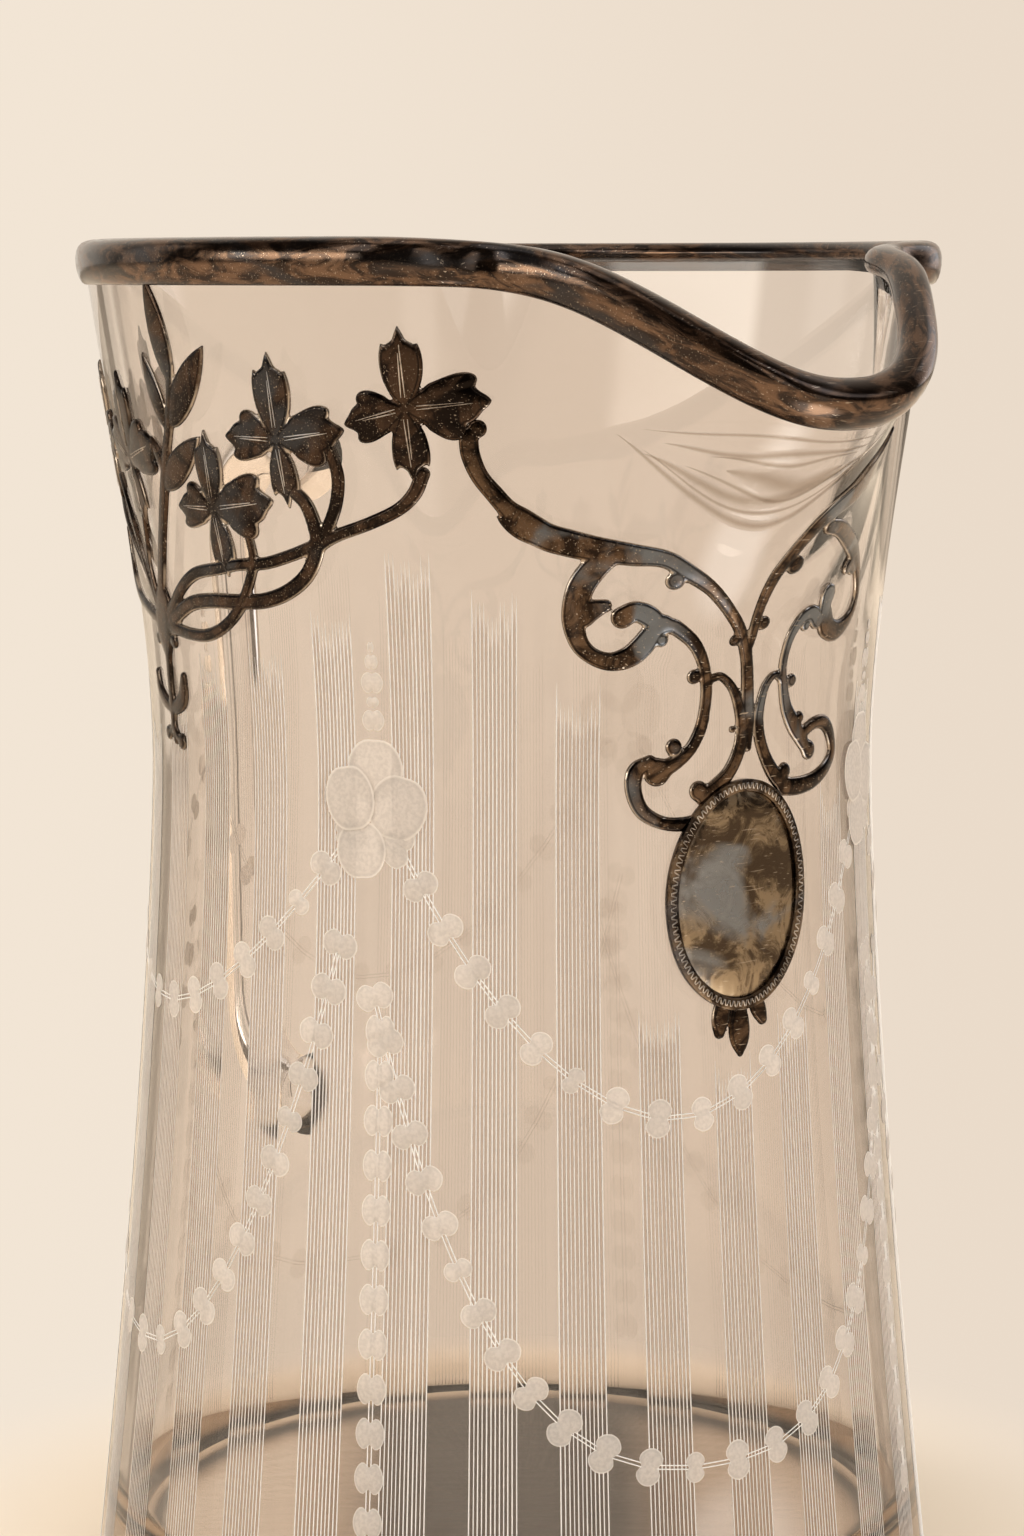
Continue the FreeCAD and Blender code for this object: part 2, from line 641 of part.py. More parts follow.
def spray_pieces():
    """The drawings of the flower spray, each without the ground of the pieces laid over it."""
    pieces = {}
    laid_over = []
    for name, side, flowers in (("right", 1, right_flower_shares), ("left", -1, left_flower_shares)):
        for number, (place, turns, lengths) in enumerate(flowers, 1):
            drawing = less(flower(place, turns, lengths, side), *laid_over)
            pieces[f"{name}_flower_{number}"] = drawing
            laid_over.append(drawing)
    tail = [stroke(sized(line, spray_size)) for line in (knot_shares,) + hook_shares]
    knot = fused(tail + knobs(knot_boss_shares, spray_size))
    pieces["spray_knot"] = knot
    leaves = []
    for base, tip, width_share in stem_leaf_shares:
        ends = [(a * spray_size, u * spray_size) for a, u in (base, tip)]
        length = math.dist(*ends)
        leaves.append(blade(*ends, width_share * leaf_width / 2 / length, leaf_shares))
    stalk = fused([stroke(sized(stalk_shares, spray_size))] + leaves)
    stalk = less(stalk, *laid_over, knot)
    pieces["leaf_stalk"] = stalk
    loops = (upper_loop_shares, main_loop_shares, low_loop_shares, last_flower_stem_shares, second_flower_stem_shares)
    right = fused([stroke(sized(loop, spray_size)) for loop in loops])
    pieces["right_stems"] = less(right, *laid_over, knot, stalk)
    left = fused([stroke(sized(stem, spray_size)) for stem in thin_stem_shares])
    pieces["left_stems"] = less(left, *laid_over, knot, stalk)
    return pieces


def rounded_path(points, radii):
    """Straight runs through the points with an arc at each bend."""
    runs = []
    start = points[0]
    for before, corner, after, radius in zip(points, points[1:], points[2:], radii):
        back = before.sub(corner).normalize()
        ahead = after.sub(corner).normalize()
        half = back.getAngle(ahead) / 2
        middle = (back + ahead).normalize()
        enter = corner + back * (radius / math.tan(half))
        leave = corner + ahead * (radius / math.tan(half))
        crown = corner + middle * (radius / math.sin(half) - radius)
        runs += [Part.LineSegment(start, enter).toShape(), Part.Arc(enter, crown, leave).toShape()]
        start = leave
    runs.append(Part.LineSegment(start, points[-1]).toShape())
    return Part.Wire(runs)


def glass_handle(body):
    """A rod of clear glass with a flared pad at each end, melted onto the wall opposite the lip."""
    handle_top = rim_height - handle_drop
    roots = [at(180.0, wall_radius(180.0, z) - pad_root, z) for z in (handle_top, handle_bottom)]
    corners = [
        at(180.0, grip_corner, handle_top + handle_rise),
        at(180.0, grip_corner - handle_slant, handle_bottom),
    ]
    path = rounded_path([roots[0]] + corners + [roots[1]], (bend_top, bend_low))
    ways = [corners[0].sub(roots[0]).normalize(), corners[1].sub(roots[1]).normalize()]
    end = Part.Wire(Part.makeCircle(handle_thickness / 2, roots[0], ways[0]))
    rod = path.makePipeShell([end], True, False)
    pads = [
        Part.makeCone(pad_size / 2, pad_end_share * handle_thickness / 2, pad_length, root, way)
        for root, way in zip(roots, ways)
    ]
    outside = rod.multiFuse(pads).cut(body)
    return max(outside.Solids, key=lambda solid: solid.Volume)


nodes = {}
nodes["glass_body"] = glass_body()
nodes["glass_handle"] = glass_handle(nodes["glass_body"])
nodes["rim_band"] = rim_band()

spray_height = band_foot(spray_angle) - stalk_share * spray_size
spray_low = spray_height - tail_share * spray_size
spray_reach = right_flower_shares[-1][0][0] * spray_size + petal_reach_share * flower_size
spray_slab = wall_slab(spray_angle, spray_reach, spray_low, silver)
spray_blocks = {name: thrown(drawing, spray_angle, spray_height) for name, drawing in spray_pieces().items()}
for name, blocks in spray_blocks.items():
    nodes[name] = laid(blocks, spray_slab)

scroll_height = rim_height - scroll_drop
scroll_low = scroll_height - plate_drop - plate_height / 2 - drop_length - line_width
scroll_slab = wall_slab(0.0, scroll_reach_share * scroll_size, scroll_low, silver)
border_slab = wall_slab(0.0, plate_width, scroll_low, silver + border_proud)
for name, drawing in scroll_pieces().items():
    slab = border_slab if name == "cartouche_border" else scroll_slab
    nodes[name] = laid(thrown(drawing, 0.0, scroll_height), slab)
nodes["left_arm_scroll"] = nodes["left_arm_scroll"].cut(spray_blocks["right_flower_3"])

for name, shape in nodes.items():
    shape.exportStep(f"parts/{name}.step")
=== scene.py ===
import math

import bpy
import numpy as np
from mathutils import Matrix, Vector


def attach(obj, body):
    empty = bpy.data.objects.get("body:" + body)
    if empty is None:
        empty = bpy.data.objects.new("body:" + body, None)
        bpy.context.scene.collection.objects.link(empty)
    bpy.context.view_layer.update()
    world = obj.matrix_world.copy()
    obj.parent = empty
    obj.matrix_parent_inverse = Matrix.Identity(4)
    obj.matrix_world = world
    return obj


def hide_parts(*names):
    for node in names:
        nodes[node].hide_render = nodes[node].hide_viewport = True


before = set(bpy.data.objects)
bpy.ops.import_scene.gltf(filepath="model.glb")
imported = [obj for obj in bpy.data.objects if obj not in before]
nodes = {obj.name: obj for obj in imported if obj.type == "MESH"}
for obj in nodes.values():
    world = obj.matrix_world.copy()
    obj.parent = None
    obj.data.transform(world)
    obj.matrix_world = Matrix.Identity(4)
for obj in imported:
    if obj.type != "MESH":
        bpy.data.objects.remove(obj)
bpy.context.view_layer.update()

# Camera
# The photograph is taken from a little above the rim, 0.48 m from the pitcher's axis,
# 37 degrees round from the lip towards the viewer's left, and cuts the lowest 8 mm off.
turn_from_lip = math.radians(37.0)
towards_camera = (math.cos(turn_from_lip), -math.sin(turn_from_lip))
camera_distance, camera_height, camera_dip = 0.48, 0.1811, 7.919
camera = bpy.data.objects.new("photo_camera", bpy.data.cameras.new("photo_camera"))
bpy.context.scene.collection.objects.link(camera)
camera.data.sensor_fit = "VERTICAL"
camera.data.sensor_height = 24.0
camera.data.lens = 55.71
camera.data.clip_start = 0.01
camera.location = (camera_distance * towards_camera[0], camera_distance * towards_camera[1], camera_height)
camera.rotation_euler = (math.radians(90.0 - camera_dip), 0.0, math.radians(90.0) - turn_from_lip)
bpy.context.scene.camera = camera

# Background and lights
# A seamless warm cream backdrop, a little deeper to the right, and soft daylight from large windows.
# The eye and the glass see the backdrop all round; the metal mirrors it, a dim room and its windows.
bpy.context.scene.view_settings.view_transform = "Standard"
cream_left, cream_right = (0.888, 0.784, 0.665, 1.0), (0.823, 0.708, 0.591, 1.0)
room_brown, ceiling_white = (0.10, 0.078, 0.062, 1.0), (1.2, 1.15, 1.1, 1.0)
gap_brown, daylight = (0.06, 0.042, 0.03, 1.0), (0.36, 0.347, 0.329, 1.0)
rightwards = (math.sin(turn_from_lip), math.cos(turn_from_lip), 0.0)
away_and_up = (-towards_camera[0], -towards_camera[1], 0.25)
# Each window: direction from the lip, half width, height, half height and softness in degrees, and colour.
windows = (
    (-5.0, 3.0, 8.0, 30.0, 7.0, (1.5, 1.42, 1.3, 1.0)),
    (-93.0, 22.0, 9.0, 4.0, 7.0, (5.0, 4.7, 4.2, 1.0)),
    (-72.0, 7.0, 42.0, 12.0, 10.0, (2.1, 2.05, 2.0, 1.0)),
    (40.0, 5.0, 38.0, 14.0, 12.0, (1.5, 1.55, 1.65, 1.0)),
    (-148.0, 4.0, 10.0, 20.0, 9.0, (1.0, 0.93, 0.84, 1.0)),
    (95.0, 6.0, 12.0, 24.0, 10.0, (1.6, 1.6, 1.65, 1.0)),
)
# Each dark gap that only bent rays meet: its direction, half width and softness in degrees, and depth.
gaps = ((169.5, 2.2, 1.8, 0.9), (117.0, 1.2, 2.6, 0.7), (99.0, 3.0, 4.0, 0.35), (-173.0, 3.0, 4.0, 0.35))


def add_node(tree, kind, inputs=None, **settings):
    """A new shader node; each of its inputs is a value or another node's socket."""
    node = tree.nodes.new("ShaderNode" + kind)
    for name, value in settings.items():
        setattr(node, name, value)
    for name, value in (inputs or {}).items():
        if isinstance(value, bpy.types.NodeSocket):
            tree.links.new(value, node.inputs[name])
        else:
            node.inputs[name].default_value = value
    return node


def worked(tree, operation, *values):
    """A Math node's result; each value is a number or another node's socket."""
    return add_node(tree, "Math", dict(enumerate(values)), operation=operation).outputs[0]


def measured(tree, operation, *vectors):
    """A Vector Math node's number, such as a length, a distance or a dot product."""
    return add_node(tree, "VectorMath", dict(enumerate(vectors)), operation=operation).outputs["Value"]


def faded(tree, value, low, high, to_low=0.0, to_high=1.0):
    """A smooth step from to_low at low to to_high at high."""
    ends = {"Value": value, "From Min": low, "From Max": high, "To Min": to_low, "To Max": to_high}
    return add_node(tree, "MapRange", ends, interpolation_type="SMOOTHSTEP").outputs["Result"]


def blended(tree, share, first, second):
    """A colour between two colours, each a tuple or another node's socket."""
    mix = add_node(tree, "Mix", {"Factor": share, "A": first, "B": second}, data_type="RGBA")
    return mix.outputs["Result"]


def cream_towards(tree, direction):
    """The backdrop's colour in a direction, from its paler left to its deeper right."""
    across = measured(tree, "DOT_PRODUCT", direction, rightwards)
    return blended(tree, faded(tree, across, -0.16, 0.16), cream_left, cream_right)


def within(tree, angle, middle, half, soft):
    """1 within half degrees of a middle direction, fading to 0 over soft degrees more."""
    aside = worked(tree, "ABSOLUTE", worked(tree, "SUBTRACT", angle, math.radians(middle)))
    return faded(tree, aside, math.radians(half), math.radians(half + soft), 1.0, 0.0)


world = bpy.data.worlds.new("cream_backdrop")
bpy.context.scene.world = world
world.use_nodes = True
tree = world.node_tree
tree.nodes.clear()
path = add_node(tree, "LightPath")
direction = add_node(tree, "TexCoord").outputs["Generated"]
parts = add_node(tree, "SeparateXYZ", {0: direction})
compass = worked(tree, "ARCTAN2", parts.outputs["Y"], parts.outputs["X"])
height = worked(tree, "ARCSINE", parts.outputs["Z"])
behind = measured(tree, "DOT_PRODUCT", direction, away_and_up)
cream = cream_towards(tree, direction)
mirrored = blended(tree, faded(tree, behind, 0.35, 0.9), room_brown, cream)
for turn, half_turn, rise, half_rise, soft, colour in windows:
    level = within(tree, height, rise, half_rise, soft)
    pane = worked(tree, "MULTIPLY", within(tree, compass, turn, half_turn, soft), level)
    mirrored = blended(tree, pane, mirrored, colour)
overhead = faded(tree, height, math.radians(62.0), math.radians(80.0))
mirrored = blended(tree, overhead, mirrored, ceiling_white)
through = cream
for turn, half_turn, soft, deep in gaps:
    gap = worked(tree, "MULTIPLY", within(tree, compass, turn, half_turn, soft), deep)
    through = blended(tree, gap, through, gap_brown)
light = daylight
for kind, colour in (("Is Glossy Ray", mirrored), ("Is Transmission Ray", through), ("Is Camera Ray", cream)):
    light = blended(tree, path.outputs[kind], light, colour)
backdrop = add_node(tree, "Background", {"Color": light})
add_node(tree, "OutputWorld", {"Surface": backdrop.outputs[0]})


def window_light(name, place, size, watts, colour):
    """A soft rectangular light that faces the pitcher's middle."""
    lamp = bpy.data.lights.new(name, "AREA")
    lamp.shape = "RECTANGLE"
    lamp.size, lamp.size_y = size
    lamp.energy = watts
    lamp.color = colour
    holder = bpy.data.objects.new(name, lamp)
    bpy.context.scene.collection.objects.link(holder)
    holder.location = place
    holder.rotation_euler = (Vector((0.0, 0.0, 0.12)) - Vector(place)).to_track_quat("-Z", "Y").to_euler()
    holder.visible_transmission = False
    holder.visible_camera = False
    holder.visible_glossy = False


window_light("window_left", (-0.7, -1.1, 0.9), (0.9, 1.2), 14.0, (1.0, 0.97, 0.93))
window_light("window_right", (1.3, 0.2, 0.5), (0.5, 1.2), 8.0, (0.95, 0.97, 1.0))
window_light("window_top", (0.15, -0.1, 1.3), (0.9, 0.6), 9.0, (1.0, 0.98, 0.95))
window_light("window_back", (-0.6, 1.1, 0.6), (1.2, 1.0), 6.0, (1.0, 0.97, 0.92))

# Table
# A matt cream top that runs into the backdrop, so that no edge of it shows. Its middle keeps the shadow, with
# a painted pool of light glowing at each side where the thick base would gather light. Rays bent by the glass
# pass its outer part and meet the backdrop. A patch in front of the lip is a painted white glow for the
# silver to mirror.
middle_reach, outer_reach = 0.13, 3.0
cloth_cream = (0.93, 0.78, 0.61, 1.0)
glint_patch_place, glint_patch_white = (0.165, 0.04, 0.0), (4.5, 4.3, 4.0, 1.0)


def mesh_from(name, points, faces):
    """A smooth mesh object of points in metres and faces of any number of corners."""
    mesh = bpy.data.meshes.new(name)
    mesh.from_pydata([tuple(p) for p in points], [], [tuple(f) for f in faces])
    mesh.polygons.foreach_set("use_smooth", [True] * len(mesh.polygons))
    mesh.update()
    made = bpy.data.objects.new(name, mesh)
    bpy.context.scene.collection.objects.link(made)
    return made


def ring_faces(rows, columns, close_rows=False):
    """Quads over a grid of points that closes round its columns and, if asked, round its rows."""
    i, j = np.meshgrid(np.arange(rows if close_rows else rows - 1), np.arange(columns), indexing="ij")
    right, up = (j + 1) % columns, (i + 1) % rows
    quads = [i * columns + j, i * columns + right, up * columns + right, up * columns + j]
    return [tuple(quad) for quad in np.stack(quads, axis=-1).reshape(-1, 4)]


def principled(name, inputs):
    """A new material, its node tree and its Principled node, whose inputs are set to the values given."""
    made = bpy.data.materials.new(name)
    made.use_nodes = True
    surface = made.node_tree.nodes["Principled BSDF"]
    for socket, value in inputs.items():
        surface.inputs[socket].default_value = value
    return made, made.node_tree, surface


turn = np.radians(np.arange(96) * 3.75)
around = np.stack([np.cos(turn), np.sin(turn), 0 * turn], axis=-1)
table_middle = mesh_from("table_middle", around * middle_reach, [np.arange(96)])
outer_rings = np.concatenate([around * middle_reach, around * outer_reach])
table_outer = mesh_from("table_outer", outer_rings, ring_faces(2, 96))
cloth, tree, surface = principled(
    "table_top", {"Base Color": cloth_cream, "Roughness": 0.9, "Specular IOR Level": 0.1})
place = add_node(tree, "TexCoord").outputs["Object"]
away = measured(tree, "LENGTH", place)
from_front = add_node(tree, "VectorMath", {0: place, 1: camera.location}, operation="SUBTRACT")
unit = add_node(tree, "VectorMath", {0: from_front.outputs[0]}, operation="NORMALIZE")
path = add_node(tree, "LightPath")
seen = worked(tree, "MAXIMUM", path.outputs["Is Camera Ray"], path.outputs["Is Transmission Ray"])
aside = measured(tree, "DOT_PRODUCT", place, rightwards)
# painted pools of light: patches under the base's sides glow with the backdrop's colour
painted_pool_left = faded(tree, aside, -0.036, -0.014, 0.75, 0.0)
painted_pool_right = faded(tree, aside, 0.014, 0.034, 0.0, 0.45)
under_base = faded(tree, away, 0.045, 0.053, 1.0, 0.0)
painted_pool = worked(tree, "MULTIPLY", worked(tree, "MAXIMUM", painted_pool_left, painted_pool_right), under_base)
beyond = faded(tree, away, 0.062, 0.115)
share = worked(tree, "MULTIPLY", worked(tree, "MAXIMUM", beyond, painted_pool), seen)
glow = add_node(tree, "Emission", {"Color": cream_towards(tree, unit.outputs[0]), "Strength": 1.0})
# painted glow: a patch of the top in front of the lip glows white to mirror rays only, seen as a highlight on
# the silver
near_glint_patch = faded(tree, measured(tree, "DISTANCE", place, glint_patch_place), 0.03, 0.08, 1.0, 0.0)
glint_patch_share = worked(tree, "MULTIPLY", near_glint_patch, path.outputs["Is Glossy Ray"])
glint_patch = add_node(tree, "Emission", {"Color": glint_patch_white})
top = surface.outputs[0]
for amount, shader in ((share, glow), (glint_patch_share, glint_patch)):
    top = add_node(tree, "MixShader", {0: amount, 1: top, 2: shader.outputs[0]}).outputs[0]
tree.links.new(top, tree.nodes["Material Output"].inputs["Surface"])
for table in (table_middle, table_outer):
    table.data.materials.append(cloth)
table_outer.visible_transmission = False

# Glass body
# Blown soda glass, 3 mm thick, with a solid floor and a fire-polished edge.
# The lip is pinched out of the soft rim, and pulls the wall with it down to the throat.
rim_height, waist_height, waist_radius, rim_flare, foot_flare = 184.0, 117.0, 48.5, 8.3, 9.6
lip_reach, lip_drop, lip_start = 15.0, 18.0, 126.0
lip_half_angle, drop_half_angle, pinch_depth, pinch_angle, pinch_half_angle = 21.0, 22.5, 5.6, 40.0, 8.5
wall, heel_round, floor_height, floor_corner, edge_rise = 3.0, 3.0, 11.5, 6.0, 0.7
corner_height = floor_height + floor_corner
cords_depth, cords_half_angle, cords_height, cords_half_height = 0.1, 26.0, 147.0, 11.0
fold_angle, fold_height = -4.0, 152.0
glass_tint, deep_glass = (0.935, 0.893, 0.863, 1.0), (0.53, 0.37, 0.17, 1.0)
angles = np.arange(480) * 0.75


def body_radius(z):
    """r = waist + rim flare s^2 (2 - s) above the waist and waist + foot flare t^1.4 below it, in mm."""
    above = np.clip((z - waist_height) / (rim_height - waist_height), 0.0, None)
    below = np.clip((waist_height - z) / waist_height, 0.0, None)
    return waist_radius + rim_flare * above**2 * (2 - above) + foot_flare * below**1.4


def rim_at(angle):
    """The rim's height, less drop exp(-(a / half)^2.3) over the lip; angles in degrees from the lip."""
    turn = np.abs((angle + 180.0) % 360.0 - 180.0)
    return rim_height - lip_drop * np.exp(-((turn / drop_half_angle) ** 2.3))


def wall_radius(angle, z):
    """The round body plus the lip's push, which grows with the square of the height above its start."""
    turn = np.abs((angle + 180.0) % 360.0 - 180.0)
    pinch = pinch_depth * np.exp(-(((turn - pinch_angle) / pinch_half_angle) ** 2))
    push = lip_reach * np.exp(-((turn / lip_half_angle) ** 2.8)) - pinch
    rise = np.clip((z - lip_start) / (rim_at(angle) - lip_start), 0.0, None)
    return body_radius(z) + push * rise**2


def on_wall(angle, z, lift=0.0):
    """Points in metres on the outer wall at angles and heights, lifted off it by so many mm."""
    radius = wall_radius(angle, z) + lift
    turn = np.radians(angle)
    points = np.stack([radius * np.cos(turn), radius * np.sin(turn), z + 0.0 * radius], axis=-1)
    return points / 1000.0


def row_height(angle, share):
    """Heights of rows that run level low down and follow the dipping rim over the top third."""
    bend = np.clip((share - 0.66) / 0.34, 0.0, None) ** 2
    return share * rim_height + bend * (rim_at(angle) - rim_height)


def drawn_cords(angle, z):
    """Faint ripples that pinching left inside the throat: the sine of a distance folded round one point."""
    turn = (angle + 180.0) % 360.0 - 180.0
    level = np.exp(-(((z - cords_height) / cords_half_height) ** 2))
    near = np.exp(-((turn / cords_half_angle) ** 4)) * level
    fold = np.hypot((turn - fold_angle) / 9.0, (z - fold_height) / 6.5)
    return cords_depth * near * np.sin(6.0 * fold + 1.4 * np.sin(turn / 5.0))


def blown_glass():
    """Rings of the skin: base, round heel, outer wall, polished edge, inner wall, corner and floor."""
    foot = body_radius(np.array(heel_round)) - heel_round
    rings = [(radius, 0.0) for radius in np.linspace(2.0, foot, 10)]
    for turn in np.radians([18, 36, 54, 72]):
        rings.append((foot + heel_round * np.sin(turn), heel_round - heel_round * np.cos(turn)))
    edge = rim_at(angles)
    for share in np.linspace(heel_round / rim_height, 1.0, 78):
        z = np.minimum(row_height(angles, share), edge - edge_rise)
        rings.append((wall_radius(angles, z), z))
    for turn in np.radians([30, 60, 90, 120, 150]):
        radius = wall_radius(angles, edge) - wall / 2 * (1 - np.cos(turn))
        rings.append((radius, edge - edge_rise * (1 - np.sin(turn))))
    for share in np.linspace(1.0, corner_height / rim_height, 110):
        z = np.minimum(row_height(angles, share), edge - edge_rise)
        rings.append((wall_radius(angles, z) - wall + drawn_cords(angles, z), z))
    inside = body_radius(np.array(corner_height)) - wall - floor_corner
    for turn in np.radians([15, 30, 45, 60, 75]):
        rings.append((inside + floor_corner * np.cos(turn), corner_height - floor_corner * np.sin(turn)))
    rings += [(radius, floor_height) for radius in np.linspace(inside, 2.0, 12)]
    turn = np.radians(angles)
    points = [np.stack([r * np.cos(turn), r * np.sin(turn), z + 0 * turn], axis=-1) for r, z in rings]
    return np.array(points) / 1000.0


def closed_skin(name, rings):
    """A mesh over rings of points, its first and last ring closed by a fan to their middle."""
    rows, count = rings.shape[:2]
    top = (rows - 1) * count
    faces = ring_faces(rows, count)
    faces += [(rows * count, (k + 1) % count, k) for k in range(count)]
    faces += [(rows * count + 1, top + k, top + (k + 1) % count) for k in range(count)]
    middles = [rings[0].mean(axis=0), rings[-1].mean(axis=0)]
    return mesh_from(name, np.concatenate([rings.reshape(-1, 3), middles]), faces)


glass_body = closed_skin("blown_body", blown_glass())
clear, tree, surface = principled(
    "clear_glass", {"Base Color": glass_tint, "Roughness": 0.0, "IOR": 1.5, "Transmission Weight": 1.0})
depth = add_node(tree, "VolumeAbsorption", {"Color": deep_glass, "Density": 30.0})
tree.links.new(depth.outputs[0], tree.nodes["Material Output"].inputs["Volume"])
glass_body.data.materials.append(clear)
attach(glass_body, "root")
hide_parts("glass_body")

# Glass handle
# A rod of clear glass, bent while hot, with a flattened pad melted onto the wall at each end.
# It is behind the body in the photograph and shows only as a thin line, so it casts no shadow.
grip_corners = np.array([[-82.2, 159.0], [-73.2, 60.0]])
bend_radii = (19.0, 16.0)
root_heights, root_depth = np.array([154.0, 60.0]), 0.6
rod_radius, pad_flare, pad_reach = 4.9, 1.4, 3.0


def handle_path():
    """Points (x, z) in mm along the rod's middle: straight runs with an arc at each corner."""
    roots = np.stack([-wall_radius(180.0, root_heights) + root_depth, root_heights], axis=1)
    polyline = [roots[0], *grip_corners, roots[1]]
    path = []
    here = roots[0]
    for before, corner, after, radius in zip(polyline, polyline[1:], polyline[2:], bend_radii):
        back = (before - corner) / np.linalg.norm(before - corner)
        ahead = (after - corner) / np.linalg.norm(after - corner)
        half = math.acos(float(back @ ahead)) / 2
        reach = radius / math.tan(half)
        enter, leave = corner + back * reach, corner + ahead * reach
        middle = corner + (back + ahead) / np.linalg.norm(back + ahead) * radius / math.sin(half)
        path += [here + (enter - here) * share for share in np.linspace(0, 1, 14)[:-1]]
        first = math.atan2(*(enter - middle)[::-1])
        last = math.atan2(*(leave - middle)[::-1])
        sweep = (last - first + math.pi) % (2 * math.pi) - math.pi
        for turn in first + sweep * np.linspace(0, 1, 20)[:-1]:
            path.append(middle + radius * np.array([math.cos(turn), math.sin(turn)]))
        here = leave
    return np.array(path + [here + (roots[1] - here) * share for share in np.linspace(0, 1, 14)])


def handle_rings():
    """Rings of 32 points round the path, flared by flare exp(-(d / reach)^1.6) towards the pads."""
    path = handle_path()
    along = np.gradient(path, axis=0)
    along /= np.linalg.norm(along, axis=1)[:, None]
    run = np.concatenate([[0], np.cumsum(np.linalg.norm(np.diff(path, axis=0), axis=1))])
    from_end = np.minimum(run, run[-1] - run)
    radius = (rod_radius + pad_flare * np.exp(-((from_end / pad_reach) ** 1.6)))[:, None]
    turn = np.radians(np.arange(32) * 11.25)
    x = path[:, :1] - along[:, 1:] * radius * np.cos(turn)
    z = path[:, 1:] + along[:, :1] * radius * np.cos(turn)
    return np.stack([x, radius * np.sin(turn), z], axis=-1) / 1000.0


handle = closed_skin("rod_handle", handle_rings())
rod_glass = clear.copy()
rod_glass.name = "rod_glass"
rod_glass.node_tree.nodes["Principled BSDF"].inputs["Base Color"].default_value = (1.0, 1.0, 1.0, 1.0)
rod_glass.node_tree.nodes.remove(rod_glass.node_tree.nodes["Volume Absorption"])
handle.data.materials.append(rod_glass)
handle.visible_shadow = False
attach(handle, "root")
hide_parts("glass_handle")

# Tarnished silver
# Old sterling silver, nearly black with copper-brown and bluish stains, smooth between fine scratches.
# Where a piece carries the attribute inward, the distance from its edge in mm, its edges are worn bright,
# with a line of painted shade just inside them.
worn_silver, edge_shade = (0.62, 0.52, 0.42), (0.008, 0.006, 0.005, 1.0)
# Each noise of the stains: scale, detail, roughness and distortion.
stain_noises = ((190.0, 8.0, 0.66, 1.2), (70.0, 4.0, 0.5, 0.6))


def noise_over(tree, place, *numbers):
    """A noise's value from its scale, detail and, where given, roughness and distortion."""
    inputs = dict(zip(("Scale", "Detail", "Roughness", "Distortion"), numbers), Vector=place)
    return add_node(tree, "TexNoise", inputs).outputs["Fac"]


def scratches(tree, place, turn, size, low, high):
    """Fine straight scratches: the peaks of a noise that is stretched one way."""
    stretch = add_node(tree, "Mapping", {"Vector": place, "Rotation": turn, "Scale": size})
    return faded(tree, noise_over(tree, stretch.outputs["Vector"], 1.0, 1.0), low, high)


def bumped(tree, surface, height, strength, distance):
    """Lets a height in the tree bend the surface's normal."""
    bump = add_node(tree, "Bump", {"Strength": strength, "Distance": distance, "Height": height})
    tree.links.new(bump.outputs["Normal"], surface.inputs["Normal"])


def tarnished(name, dark, warm, blue, rough, stretched=None, edged=False):
    """Metal whose colour drifts between dark, warm and blue stains, with bright scratches and edges."""
    made, tree, surface = principled(name, {"Metallic": 1.0})
    place = add_node(tree, "TexCoord").outputs["Object"]
    stained = place
    if stretched:
        along = add_node(tree, "Attribute", attribute_name=stretched)
        squeeze = add_node(tree, "Mapping", {"Vector": along.outputs["Vector"], "Scale": (1.0, 2.4, 1.0)})
        stained = squeeze.outputs["Vector"]
    fine_noise, broad_noise = (noise_over(tree, stained, *numbers) for numbers in stain_noises)
    colour = blended(tree, faded(tree, fine_noise, 0.42, 0.6), (*dark, 1.0), (*warm, 1.0))
    colour = blended(tree, faded(tree, broad_noise, 0.52, 0.64), colour, (*blue, 1.0))
    fine = scratches(tree, place, (0.4, 0.9, 0.3), (7000.0, 160.0, 4200.0), 0.68, 0.76)
    cross = scratches(tree, place, (1.3, -0.5, 0.9), (7000.0, 180.0, 4600.0), 0.69, 0.77)
    worn = worked(tree, "MULTIPLY", worked(tree, "MAXIMUM", fine, cross), 0.5)
    if edged:
        depth_in = add_node(tree, "Attribute", attribute_name="inward").outputs["Fac"]
        # painted shade: a dark line just inside the worn edge
        line_ends = faded(tree, depth_in, 0.36, 0.56, 1.0, 0.0)
        shade = worked(tree, "MULTIPLY", faded(tree, depth_in, 0.24, 0.34), line_ends)
        colour = blended(tree, worked(tree, "MULTIPLY", shade, 0.8), colour, edge_shade)
        patchy = faded(tree, broad_noise, 0.40, 0.58, 0.0, 0.6)
        rubbed = worked(tree, "MULTIPLY", faded(tree, depth_in, 0.1, 0.22, 1.0, 0.0), patchy)
        worn = worked(tree, "MAXIMUM", worn, rubbed)
    colour = blended(tree, worn, colour, (*worn_silver, 1.0))
    tree.links.new(colour, surface.inputs["Base Color"])
    tree.links.new(faded(tree, fine_noise, 0.3, 0.7, rough - 0.08, rough + 0.12), surface.inputs["Roughness"])
    bumped(tree, surface, fine_noise, 0.3, 0.00005)
    return made


# Rim band
# A half-round silver band over the glass edge, rounded outside and on top, turned a little way down inside
# and narrower outside at the back. It follows the rim's dip round the lip.
band_half, rim_mean_radius, back_narrowing = 2.9, 0.055, 0.36
# The band's section: across the edge, outwards, and down from it, in mm.
section = (
    (0.03, 4.55), (0.35, 4.5), (0.72, 4.2), (1.0, 3.6), (1.15, 2.8), (1.2, 1.9), (1.12, 0.9), (0.9, 0.1),
    (0.55, -0.5), (0.1, -0.88), (-0.5, -1.08), (-1.2, -1.14), (-2.0, -1.1), (-2.8, -0.92), (-3.4, -0.55),
    (-3.85, 0.0), (-4.05, 0.7), (-4.0, 1.4), (-3.75, 1.95), (-3.4, 2.25), (-3.05, 2.3),
)


